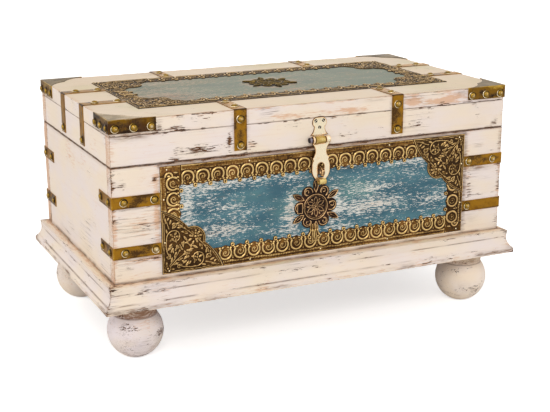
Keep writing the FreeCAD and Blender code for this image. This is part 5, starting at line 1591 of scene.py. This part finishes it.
@dataclass
class FrontBrass:
    """Pressed brass of the front: four strips, two corner plates and the medallion."""

    half_width: float = 332.0
    top: float = 379.5
    height: float = 208.0
    strip_width: float = 41.0
    arches: int = 17
    last_arch: float = 13.4
    side_arches: int = 3
    side_first: float = 34.0
    ring_pitch: float = 34.5
    heavy_beads: float = 1.9
    medallion: tuple[float, float] = (-11.0, 266.0)

    def build(self) -> None:
        """Build every sheet."""
        half, top, bottom, heavy = self.half_width, self.top, self.top - self.height, self.heavy_beads
        length = 2 * half - self.strip_width - CUSP
        wide = (length, length - self.last_arch - Strip.pitch * (self.arches - 1), self.arches)
        short = (self.height - CUSP, self.side_first, self.side_arches)
        ringed = Strip(*short, self.ring_pitch, plate_at_start=False, rings=True, beads=heavy)
        beaded = Strip(*wide, plate_at_end=False, beads=heavy)
        plate = CornerPlate()
        for name, sheet, roll, x, z, finish in (
                ("border_top", Strip(*wide, plate_at_end=False), 180, half - CUSP, top, PRESSED),
                ("border_bottom", beaded, 0, CUSP - half, bottom, PRESSED),
                ("border_left", Strip(*short, plate_at_start=False), 270, -half, top, PRESSED),
                ("border_right", ringed, 90, half, bottom, PLATE_BRASS),
                ("corner_upper_right", plate, 180, half, top, PLATE_BRASS),
                ("corner_lower_left", plate, 0, -half, bottom, PLATE_BRASS)):
            shell = laid(sheet.shell(), Side.FRONT, roll, (x, -HALF_DEPTH, z), x * MM + roll)
            build_piece(f"front_{name}_pressed", shell, finish, "chest", f"front_{name}", PRESSED_CREASE)
        x, z = self.medallion
        for name, sheet, finish in (("wheel", Wheel(slotted=True), WHEEL_BRASS), ("stem", Stem(), PRESSED)):
            shell = laid(sheet.shell(), Side.FRONT, 0, (x, -HALF_DEPTH, z))
            build_piece("front_medallion_" + name, shell, finish, "chest", "front_medallion", PRESSED_CREASE)


@dataclass
class LidBrass:
    """Pressed brass of the lid: four strips, four corner plates and the medallion."""

    half_x: float = 340.0
    half_y: float = 152.5
    arches_x: int = 15
    arches_y: int = 3

    def strip(self, half: float, arches: int) -> Shell:
        """A strip between two corner plates, with its arches in the middle."""
        length = 2 * (half - CUSP)
        return Strip(length, (length - Strip.pitch * (arches - 1)) / 2, arches).shell()

    def build(self) -> None:
        """Build every sheet."""
        x, y = self.half_x, self.half_y
        wide, short = self.strip(x, self.arches_x), self.strip(y, self.arches_y)
        for name, shell, roll, start in (
                ("front", wide, 0, (CUSP - x, -y, LID_TOP)), ("back", wide, 180, (x - CUSP, y, LID_TOP)),
                ("left", short, 270, (-x, y - CUSP, LID_TOP)), ("right", short, 90, (x, CUSP - y, LID_TOP))):
            node = "lid_border_" + name
            build_piece(node + "_pressed", laid(shell, Side.TOP, roll, start, roll), LID_PRESSED, "lid", node,
                        PRESSED_CREASE)
        plate = CornerPlate().shell()
        for name, roll, side, end in (("front_left", 0, -1, -1), ("front_right", 90, 1, -1),
                                      ("back_right", 180, 1, 1), ("back_left", 270, -1, 1)):
            shell = laid(plate, Side.TOP, roll, (side * x, end * y, LID_TOP), roll + 0.5)
            build_piece("lid_corner_plate_" + name, shell, LID_PRESSED, "lid", "lid_corner_plates",
                        PRESSED_CREASE)
        shell = laid(Wheel().shell(), Side.TOP, 0, (0, 0, LID_TOP))
        build_piece("lid_medallion_pressed", shell, LID_WHEEL, "lid", "lid_medallion", PRESSED_CREASE)


@dataclass
class Strapping:
    """Bent brass straps and the three-faced brackets of the lid."""

    strap_width: float = 23.0
    front_leg: float = 92.0
    side_leg: float = 74.0
    drops: tuple[float, float] = (66.0, 162.0)
    lid_width: float = 26.0
    lid_leg: float = 78.0
    lid_reach: float = 85.0
    lid_shine: float = -0.5
    front_offset: float = 170.0
    side_offset: float = 66.0
    bracket_leg: float = 89.0
    bracket_drop: float = 24.5
    bracket_reach: float = 95.0
    crease: float = 60.0

    @staticmethod
    def bent(first: float, second: float, width: float, seed: int, shine: float = 0.25) -> Shell:
        """A strip bent once, square.

        Args:
            first: length of the leg along its own -X, on the plane Y zero.
            second: length of the leg along its own +Y, on the plane X zero.
            width: width of the strip, across its own Z.
            seed: which unevenness to use.
            shine: how much brighter the bend is than the rest.

        Returns:
            The strip. Its bend is at its own origin, and it lies outside both planes.
        """
        bend, inner = 4.0, 0.4
        sheet = block((-first, -width / 2, 0), (second + bend, width / 2, STRAP_THICKNESS), (1.0, 2.2, 0.7),
                      0.45)
        s, w, t = sheet.points.T
        t = t + 0.12 * unevenness(sheet.points, 13, seed, 2) * eased(t, 0.2, 1.0)
        angle = np.clip(s / bend, 0, 1) * math.pi / 2
        radius = inner + t
        x = np.where(s > bend, t, np.where(s < 0, s - inner, -inner + radius * np.sin(angle)))
        y = np.where(s > bend, s - bend + inner, np.where(s < 0, -t, inner - radius * np.cos(angle)))
        arris = sheet.values["arris"]
        ridge = 0.5 + 0.14 * unevenness(sheet.points, (30, 12, 9), seed + 2, 2) + 0.35 * bell(arris, 0, 0.7) \
            - 0.16 * np.clip(np.abs(w) - width / 2 + 3, 0, 3) / 3 + shine * bell(s, bend / 2, 2.2)
        return Shell(np.stack([x, y, w], 1), sheet.faces, sheet.outward,
                     {"ridge": np.clip(ridge, 0, 1), "edge": 0.6 * bell(arris, 0, 2.5),
                      "grain": np.stack([s, w, t], 1) * MM + seed * 0.71})

    def build(self) -> None:
        """Build the straps and the brackets."""
        for seed, (label, side, end) in enumerate(CORNERS, 51):
            axes = np.array([(side, 0, 0), (0, -end, 0), (0, 0, 1)], float)
            pair = [self.bent(self.front_leg, self.side_leg, self.strap_width, seed + 7 * index).moved(
                axes, (side * HALF_WIDTH, end * HALF_DEPTH, BODY_TOP - drop))
                for index, drop in enumerate(self.drops)]
            build_piece(f"straps_{label}_bent", joined(pair), STRAP, "chest", f"straps_{label}", self.crease)
            self.bracket(label, side, end, seed)
        for seed, side in enumerate(WALLS, 61):
            along, up, out = side.axes
            axes, edge = np.stack([out, -up, along]), out * side.reach + up * LID_TOP
            offset = self.front_offset if side.wide else self.side_offset
            pair = [self.bent(self.lid_reach, self.lid_leg, self.lid_width, seed + 5 * index,
                              self.lid_shine).moved(axes, edge + along * way * offset)
                    for index, way in enumerate((-1, 1))]
            node = "lid_straps_" + side.name.lower()
            build_piece(node + "_bent", joined(pair), STRAP, "lid", node, self.crease)

    def bracket(self, label: str, side: int, end: int, seed: int) -> None:
        """Build one three-faced bracket: a scalloped top and two legs down the faces.

        Args:
            label: name of its corner.
            side: -1 on the left, and 1 on the right.
            end: -1 at the front, and 1 at the back.
            seed: which unevenness to use.
        """
        # Levels of the legs and of the top; the top's level sets how much of its painted sheen shows, most on
        # the near bracket
        base, bright = (0.24, 0.85) if label == NEAR_CORNER else (0.52, 0.4)
        thick, reach, leg_end = STRAP_THICKNESS, self.bracket_reach, self.bracket_leg
        outline = trace(((-thick, -thick), (reach, -thick), (40, 40, 70, 1), (-thick, reach, 70, 1)), 20)
        top = stamped((-thick, -thick, reach, reach), 1.6, lambda u, v: depth_inside(outline, u, v),
                      lambda u, v: thick + 0.1 * unevenness(on_plane(u, v), 20, seed, 2), 0.9)
        top.values["ridge"] = bright + 0.12 * unevenness(top.points, 22, seed, 2)
        place = (np.array([(-side, 0, 0), (0, -end, 0), (0, 0, 1)], float),
                 (side * HALF_WIDTH, end * HALF_DEPTH, LID_TOP))
        legs = []
        for x, y in ((leg_end, 0), (0, leg_end)):
            leg = block((-thick, -thick, -self.bracket_drop), (x, y, thick - 0.1), 1.5, 0.45)
            leg.push(0.1 * unevenness(leg.points, 12, seed, 2))
            arris = leg.values["arris"]
            ridge = base + 0.2 * unevenness(leg.points, (26, 26, 9), seed + 3, 2) \
                + 0.22 * bell(leg.points[:, 2], thick, 9) + 0.3 * bell(arris, 0, 0.8)
            leg.brassed(ridge, seed * 0.3).values["edge"] = 0.6 * bell(arris, 0, 3)
            legs.append(leg.moved(*place))
        node = f"lid_bracket_{label}"
        build_piece(node + "_legs", joined(legs), BRACKET, "lid", node, self.crease)
        build_piece(node + "_top", top.moved(*place), BRACKET_TOP_SHEEN, "lid", node, self.crease)


@dataclass
class Nails:
    """Dome nails of the straps and small pins of the pressed brass."""

    rim: float = 8.2
    dome: float = 6.2
    segments: int = 26
    front_insets: tuple[float, float] = (22.0, 81.0)
    side_insets: tuple[float, float] = (16.0, 61.0)
    bracket_insets: tuple[float, ...] = (11.0, 46.0, 79.0)
    bracket_drop: float = 15.0
    lid_drops: tuple[float, float] = (18.0, 68.0)
    top_insets: tuple[float, float] = (27.0, 72.0)
    pin_segments: int = 12
    pin_inset: float = 6.0
    pin_seat: float = 1.4

    def stud(self, seed: int) -> Shell:
        """One dome nail on a flat collar with a raised rim, tilted and dented a little. Its rim carries a
        painted highlight, brightest towards the lower left.

        Args:
            seed: which tilt and dents it has.

        Returns:
            The nail, on its own Z.
        """
        rim = self.rim
        steps = [(0.01, -0.4), (rim, -0.4), (rim, 0.5), (rim - 0.2, 1.0), (rim - 0.7, 1.35), (rim - 1.2, 1.25),
                 (rim - 1.6, 0.8), (self.dome + 0.05, 0.55)]
        steps += [(self.dome * math.cos(a), 0.7 + 4.1 * math.sin(a))
                  for a in np.radians((4, 14, 26, 40, 55, 70, 82))]
        steps.append((0.01, 4.8))
        levels = np.array([0.2, 0.2, 0.5, 0.9, 1.0, 0.9, 0.2, 0.0, 0.1, 0.3, 0.45, 0.5, 0.55, 0.6, 0.66, 0.68])
        shell = turned(steps, self.segments)
        spot = shell.points + seed * 31.0
        shell.push(0.22 * unevenness(spot, 4.5, seed))
        tilt = Matrix.Rotation(math.radians(5), 3, Vector((math.cos(seed * 2.4), math.sin(seed * 2.4), 0)))
        shell.points = shell.points @ np.array(tilt).T
        around = np.arange(self.segments) * 2 * math.pi / self.segments
        # Painted highlight: the rim is brightest towards the lower left and dims round the far side
        painted_rim_highlight = 0.62 + 0.38 * np.cos(around - math.radians(225) + 0.5 * math.sin(seed * 1.7))
        on_rim = np.isin(np.arange(len(steps)), (2, 3, 4, 5))[:, None]
        shell.values = {"ridge": (levels[:, None] * np.where(on_rim, painted_rim_highlight, 1.0)).ravel(), "grain": spot * MM}
        return shell

    def pin(self, seed: int) -> Shell:
        """One small round-headed pin."""
        shell = turned([(1.8, -0.3), (1.8, 0.1), (1.5, 0.6), (0.9, 0.85), (0.01, 0.95)], self.pin_segments)
        return shell.brassed(np.repeat([0.1, 0.4, 0.7, 0.9, 0.9], self.pin_segments), seed)

    @staticmethod
    def placed(name: str, maker: Callable[[int], Shell], places: Sequence[tuple[Side, float, float]],
               seat: float) -> None:
        """Build a group of fasteners on the faces of the chest.

        Args:
            name: the CAD node that they are shown in place of.
            maker: makes one fastener.
            places: face, and X or Y and height of each. On the lid's top, X and Y.
            seat: thickness of the sheet that they lie on.
        """
        shells = []
        for index, (side, first, second) in enumerate(places):
            along, up, out = side.axes
            face = LID_TOP if side is Side.TOP else side.reach
            origin = np.abs(along) * first + out * (face + seat) + up * second
            shells.append(maker(index).moved(np.stack([along, up, out]), origin))
        build_piece(name + "_domed", joined(shells), NAIL, "lid" if name.startswith("lid") else "chest", name)

    def body_places(self) -> list[tuple[Side, float, float]]:
        """Say where the body's dome nails are. One is missing at the front, as in the photo.

        Returns:
            Face, place along it and height of each.
        """
        places = []
        for drop in Strapping.drops:
            for way in (-1, 1):
                places += [(face, way * (HALF_WIDTH - inset), BODY_TOP - drop)
                           for face in (Side.FRONT, Side.BACK) for inset in self.front_insets]
                places += [(Side.RIGHT if way > 0 else Side.LEFT, end * (HALF_DEPTH - inset), BODY_TOP - drop)
                           for end in (-1, 1) for inset in self.side_insets]
        places.remove((Side.FRONT, HALF_WIDTH - self.front_insets[0], BODY_TOP - Strapping.drops[1]))
        return places

    def lid_places(self) -> list[tuple[Side, float, float]]:
        """Say where the lid's dome nails are.

        Returns:
            Face, place along it and height of each. On the top, X and Y.
        """
        places, fronts, sides = [], (Side.FRONT, Side.BACK), (Side.LEFT, Side.RIGHT)
        for way in (-1, 1):
            across, along = way * Strapping.front_offset, way * Strapping.side_offset
            for inset in self.bracket_insets:
                height = LID_TOP - self.bracket_drop
                places += [(face, way * (HALF_WIDTH - inset), height) for face in fronts]
                places += [(face, way * (HALF_DEPTH - inset), height) for face in sides]
            places += [(face, across, LID_TOP - drop) for drop in self.lid_drops for face in fronts]
            places += [(face, along, LID_TOP - self.lid_drops[1]) for face in sides]
            for inset in self.top_insets:
                for end in (-1, 1):
                    places += [(Side.TOP, across, end * (HALF_DEPTH - inset)),
                               (Side.TOP, end * (HALF_WIDTH - inset), along)]
        return places

    def build(self) -> None:
        """Build the nails and pins of the body and of the lid."""
        self.placed("body_studs", self.stud, self.body_places(), STRAP_THICKNESS)
        self.placed("lid_studs", self.stud, self.lid_places(), STRAP_THICKNESS)
        shares, inset, front, lid = (0.02, 0.27, 0.5, 0.73, 0.98), self.pin_inset, FrontBrass, LidBrass
        rows = (front.top - inset, front.top - front.height + inset)
        pins = [(Side.FRONT, 2 * front.half_width * share - front.half_width, z)
                for share in shares for z in rows]
        pins += [(Side.FRONT, way * (front.half_width - inset), front.top - front.height * share)
                 for share in (0.3, 0.7) for way in (-1, 1)]
        self.placed("body_pins", self.pin, pins, self.pin_seat)
        pins = [(Side.TOP, 2 * lid.half_x * (share - 0.5), way * (lid.half_y - inset))
                for share in shares for way in (-1, 1)]
        pins += [(Side.TOP, way * (lid.half_x - inset), 2 * lid.half_y * (share - 0.5))
                 for share in shares for way in (-1, 1)]
        self.placed("lid_pins", self.pin, pins, self.pin_seat)


@dataclass
class HaspLock:
    """The hasp's plate, leaf and pin, and the staple."""

    x: float = -4.0
    axis_y: float = -244.9
    axis_z: float = 401.0
    knuckle: float = 7.0
    leaf: float = 2.2
    leaf_end: float = -82.0
    curl_radius: float = 6.5
    curl_width: float = 15.0
    curl_length: float = 30.0
    eye_y: float = -251.0
    eye_z: float = 338.5
    across: tuple[tuple[int, int, int], ...] = ((0, 1, 0), (0, 0, 1), (1, 0, 0))

    def barrel(self, low: float, high: float, radius: float, seed: int, shine: float = 0.75) -> Shell:
        """A knuckle or pin along X with softened ends.

        Args:
            low: where it starts, from the hasp's middle.
            high: where it ends.
            radius: its radius.
            seed: which unevenness to use.
            shine: how bright it is.

        Returns:
            The barrel on the hasp's axis.
        """
        soft = 0.7
        middle = np.linspace(low + soft, high - soft, max(2, round((high - low) / 1.5)))[1:]
        shell = turned([(0.01, low), (radius - soft, low), (radius - 0.2, low + 0.2), (radius, low + soft),
                        *((radius, place) for place in middle), (radius - 0.2, high - 0.2),
                        (radius - soft, high), (0.01, high)], 40)
        ends = np.minimum(shell.points[:, 2] - low, high - shell.points[:, 2])
        # Darker within a millimetre of each end: painted shade in the gaps between the knuckles
        ridge = shine - 0.75 * bell(ends, 0, 0.9) + 0.16 * unevenness(shell.points, 6, seed)
        shell.brassed(ridge, seed).values["edge"] = bell(ends, 0, 1.5)
        return shell.moved(np.array(self.across, float), (self.x, self.axis_y, self.axis_z))

    @staticmethod
    def sheet(steps: Sequence[Sequence[float]], hole: Sequence[Sequence[float]] | None, thickness: float,
              two_sided: bool, origin: Sequence[float], crown: float) -> Shell:
        """A cast sheet with softened edges.

        Args:
            steps: its outline.
            hole: outline of the slot in it, if any.
            thickness: its thickness, or half of it when two-sided.
            two_sided: whether both faces are softened.
            origin: where its own origin goes.
            crown: how much its middle stands up.

        Returns:
            The sheet on the front of the chest.
        """
        outline = trace(steps)
        opening = None if hole is None else trace(hole)

        def inside(u: Array, v: Array) -> Array:
            """Depth inside the outline and outside the slot."""
            deep = depth_inside(outline, u, v)
            return deep if opening is None else np.minimum(deep, -depth_inside(opening, u, v))

        def relief(u: Array, v: Array) -> Array:
            """Height of the face."""
            return thickness + crown * eased(inside(u, v), 0, 7) + 0.05 * unevenness(on_plane(u, v), 5, 9, 2)

        shell = stamped((*outline.min(axis=0), *outline.max(axis=0)), 0.6, inside, relief, 1.0, two_sided)
        ridge = 0.84 - 0.82 * shell.values["edge"] + 0.16 * unevenness(shell.points * (1, 1, 0), 9, 7, 2)
        shell.values["ridge"] = np.clip(ridge, 0, 1)
        return laid(shell, Side.FRONT, 0, origin)

    def curl(self) -> Shell:
        """Roll the end of the leaf.

        Returns:
            The rolled end, in place.
        """
        sheet = block((0, -self.curl_width / 2, 0), (self.curl_length, self.curl_width / 2, self.leaf),
                      (0.9, 1.2, 0.8), 0.5)
        s, w, t = sheet.points.T
        angle = -s / self.curl_length * 1.5 * math.pi
        reach = self.curl_radius - self.leaf + t
        centre = np.array([self.x, self.axis_y - self.curl_radius + self.leaf / 2, self.axis_z + self.leaf_end])
        points = centre + np.stack([w, reach * np.cos(angle), reach * np.sin(angle)], 1)
        return Shell(points, sheet.faces, sheet.outward,
                     {"ridge": 0.75 - 0.35 * bell(sheet.values["arris"], 0, 0.6), "grain": sheet.points * MM})

    @staticmethod
    def screw(x: float, z: float, turn: float) -> Shell:
        """A slotted countersunk screw head."""

        def relief(u: Array, v: Array) -> Array:
            """Height of the head, with its slot."""
            across = np.abs(u * math.sin(turn) - v * math.cos(turn))
            return 0.75 - 0.012 * (u * u + v * v) - 0.6 * eased(0.75 - across, 0, 0.35)

        shell = stamped((-3.6, -3.6, 3.6, 3.6), 0.3, lambda u, v: 3.5 - np.hypot(u, v), relief, 0.5)
        shell.values["ridge"] *= 0.4
        return laid(shell, Side.FRONT, 0, (x, -HALF_DEPTH - 1.35, z), turn)

    def staple(self) -> Shell:
        """Make the flat eye that stands through the slot, with its round flange.

        Returns:
            The eye and the flange, in place.
        """

        def inside(u: Array, v: Array) -> Array:
            """Depth inside the eye and outside its hole."""
            nose = 8.5 - np.hypot(u, v)
            bar = np.minimum.reduce([6.8 - np.abs(v), u, 12.6 - u])
            return np.minimum(np.maximum(nose, bar), np.hypot(u, v) - 4.0)

        eye = stamped((-8.5, -8.5, 12.6, 8.5), 0.55, inside, lambda u, v: 2.5 + 0 * u, 1.2, True)
        eye.values["ridge"] = np.clip(0.7 - 0.5 * eye.values["edge"] ** 2, 0, 1)
        flange = turned([(0.01, -0.2), (8.5, -0.2), (8.5, 0.9), (8.0, 1.4), (4.0, 1.6), (0.01, 1.6)], 36)
        # The flange takes the darkest brass: painted shade seen through the hasp's slot
        flange.brassed(np.repeat([0.0, 0.0, 0.04, 0.06, 0.0, 0.0], 36))
        return joined([eye.moved(np.array(self.across, float), (self.x, self.eye_y, self.eye_z)),
                       flange.moved(Side.FRONT.axes, (self.x, -HALF_DEPTH, self.eye_z))])

    def build(self) -> None:
        """Build the hasp and the staple."""
        left, right = -13.7, 8.7
        plate = self.sheet(((left, 0), (right, 0), (right, 7.4), (20, 7.4), (11.6, 24.5, 22, 1),
                            (15.6, 34, 9, -1), (5.5, 43.5, 10, -1), (-5.5, 43.5), (-15.6, 34, 10, -1),
                            (-11.6, 24.5, 9, -1), (-20, 7.4, 22, 1), (left, 7.4)), None, STRAP_THICKNESS, False,
                           (self.x, -HALF_DEPTH, self.axis_z), 0.25)
        web = block((self.x + left, -HALF_DEPTH - 7.0, self.axis_z),
                    (self.x + right, -HALF_DEPTH, self.axis_z + 7), 1.5, 0.5)
        # The web takes the brass's hollow colour: painted shade of the opening under the knuckle
        web.brassed(np.full(len(web.points), 0.1))
        end, half = self.leaf_end, 18.5
        leaf = self.sheet(((half, -9), (12.2, -23, 18, -1), (18.8, -36, 18, -1), (16.6, -40.5),
                           (20.2, -58, 34, 1), (10.8, -79, 26, 1), (8.5, end), (-8.5, end), (-10.8, -79),
                           (-20.2, -58, 26, 1), (-16.6, -40.5, 34, 1), (-18.8, -36), (-12.2, -23, 18, -1),
                           (-half, -9, 18, -1),
                           (-half, 0), (-14.1, 0), (-14.1, -7.4), (9.1, -7.4), (9.1, 0), (half, 0)),
                          ((6.6, -52.6), (0, -46, 6.6, -1), (-6.6, -52.6, 6.6, -1), (-6.6, -71.8),
                           (-3.6, -74.8, 3, -1), (3.6, -74.8), (6.6, -71.8, 3, -1)),
                          1.05, True, (self.x, self.axis_y, self.axis_z), 0.12)
        knuckles = [self.barrel(-half, -14.1, self.knuckle, 4), self.barrel(9.1, half, self.knuckle, 5)]
        screws = [self.screw(self.x + across, z, turn)
                  for across, z, turn in ((-8.2, 437.3, 0.5), (8.2, 437.3, 2.2), (0, 424.3, 1.2))]
        knuckle = self.barrel(left, right, self.knuckle, 3, 0.6)
        pin = [self.barrel(-25.5, 18.4, 4.3, 6), self.barrel(-25.9, -18.95, 5.2, 7)]
        for node, ending, shells, finish, body in (
                ("hasp_plate", "cast", [plate, web], HASP, "lid"),
                ("hasp_plate", "knuckle", [knuckle], KNUCKLE_BRASS, "lid"),
                ("hasp_leaf", "cast", [leaf, *knuckles], HASP, "hasp"),
                ("hasp_leaf", "rolled_end", [self.curl()], KNUCKLE_BRASS, "hasp"),
                ("hasp_pin", "turned", pin, STEEL, "lid"),
                ("hasp_plate_screws", "slotted", screws, STEEL, "lid"),
                ("hasp_staple", "forged", [self.staple()], HASP, "chest")):
            build_piece(f"{node}_{ending}", joined(shells), finish, body, node)


@dataclass
class BackHinges:
    """The two butt hinges on the back, kept as they are and given their finish."""

    nodes: tuple[str, ...] = ("hinge_body_leaves", "hinge_lid_leaves", "hinge_pins", "hinge_body_screws",
                              "hinge_lid_screws")

    def build(self) -> None:
        """Dress the hinges."""
        for name in self.nodes:
            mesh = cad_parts[name].data
            points = np.array([vertex.co for vertex in mesh.vertices])
            note_values(mesh, {"ridge": 0.6 + 0.2 * unevenness(points / MM, 9, 3, 2), "grain": points})
            mesh.materials.clear()
            mesh.materials.append((STRAP if "leaves" in name else STEEL).material())
            LOG.info("%s is dressed", name)


@dataclass
class Studio:
    """Floor, light and camera."""

    eye: tuple[float, float, float] = (-1.0278, -2.23026, 0.90103)
    right: tuple[float, float, float] = (0.90610144, -0.42305594, -0.00196682)
    up: tuple[float, float, float] = (0.11718351, 0.24651117, 0.96202924)
    back: tuple[float, float, float] = (-0.40650733, -0.87192656, 0.2729393)
    lens: float = 77.418
    aim: tuple[float, float, float] = (0.0, 0.0, 0.25)
    floor_colour: tuple[float, float, float, float] = (0.86, 0.855, 0.85, 1)
    sky_colour: tuple[float, float, float, float] = (1, 0.99, 0.98, 1)
    # Name, place, size, power and colour of each lamp
    lamps: tuple[tuple, ...] = (
        ("key", (-1.4, -3.0, 2.5), 1.4, 47, (1, 0.985, 0.965)),
        ("fill", (2.8, -1.8, 1.2), 2.2, 17, (1, 0.99, 0.99)),
        ("side", (-3.0, 0.1, 1.3), 1.8, 21, (1, 0.985, 0.965)),
        ("low", (-1.0, -3.2, 0.5), 1.6, 6, (1, 0.98, 0.96)),
        ("back", (1.6, 3.2, 1.6), 1.8, 11, (1, 0.985, 0.965)))

    def build(self) -> None:
        """Set up the floor, the lamps, the world and the camera."""
        bpy.context.scene.view_settings.view_transform = "Standard"
        self.floor()
        self.sky()
        for lamp in self.lamps:
            self.lamp(*lamp)
        self.camera()

    def floor(self) -> None:
        """Lay the pale floor, which keeps the shadow."""
        bpy.ops.mesh.primitive_plane_add(size=60)
        floor = bpy.context.object
        floor.name = "studio_floor"
        graph = Graph("pale studio floor")
        seen = graph.node("LightPath").outputs["Is Camera Ray"]
        floor.data.materials.append(graph.finish(
            Base_Color=self.floor_colour, Roughness=0.9, Emission_Color=(1, 1, 1, 1),
            Emission_Strength=graph.times(seen, 0.6)))

    def sky(self) -> None:
        """Light the scene from all round, softly."""
        world = bpy.data.worlds.new("studio")
        world.use_nodes = True
        nodes, links = world.node_tree.nodes, world.node_tree.links
        background = nodes["Background"]
        background.inputs["Color"].default_value = self.sky_colour
        seen, direct, strength = (nodes.new("ShaderNode" + kind) for kind in ("LightPath", "Math", "Math"))
        direct.operation, strength.operation = "MAXIMUM", "MULTIPLY_ADD"
        links.new(seen.outputs["Is Camera Ray"], direct.inputs[0])
        links.new(seen.outputs["Is Glossy Ray"], direct.inputs[1])
        links.new(direct.outputs[0], strength.inputs[0])
        strength.inputs[1].default_value = 0.4
        strength.inputs[2].default_value = 0.58
        links.new(strength.outputs[0], background.inputs["Strength"])
        bpy.context.scene.world = world

    def lamp(self, name: str, place: Sequence[float], size: float, power: float, colour: Colour) -> None:
        """Hang a square soft lamp that shines at the chest.

        Args:
            name: its name.
            place: where it hangs, in metres.
            size: its side.
            power: its power in watts.
            colour: its colour.
        """
        data = bpy.data.lights.new(name, "AREA")
        data.size, data.energy, data.color = size, power, colour
        lamp = bpy.data.objects.new(name, data)
        lamp.location = place
        lamp.rotation_euler = (Vector(self.aim) - Vector(place)).to_track_quat("-Z", "Y").to_euler()
        bpy.context.scene.collection.objects.link(lamp)

    def camera(self) -> None:
        """Set up the photo's camera."""
        data = bpy.data.cameras.new("camera")
        data.lens, data.sensor_width, data.sensor_fit = self.lens, 36.0, "HORIZONTAL"
        data.clip_start, data.clip_end = 0.05, 100
        camera = bpy.data.objects.new("camera", data)
        camera.matrix_world = Matrix([(*row, place) for row, place in zip(
            zip(self.right, self.up, self.back), self.eye)] + [(0, 0, 0, 1)])
        bpy.context.scene.collection.objects.link(camera)
        bpy.context.scene.camera = camera


def main() -> None:
    """Build the chest piece by piece, then the studio round it."""
    logging.basicConfig(level=logging.INFO, format="%(name)s: %(message)s")
    for assembly in (Carcass, Plinth, BallFeet, LidBoards, FrontBrass, LidBrass, Strapping, Nails, HaspLock,
                     BackHinges, Studio):
        assembly().build()
    bpy.context.view_layer.update()


if __name__ == "__main__":
    main()
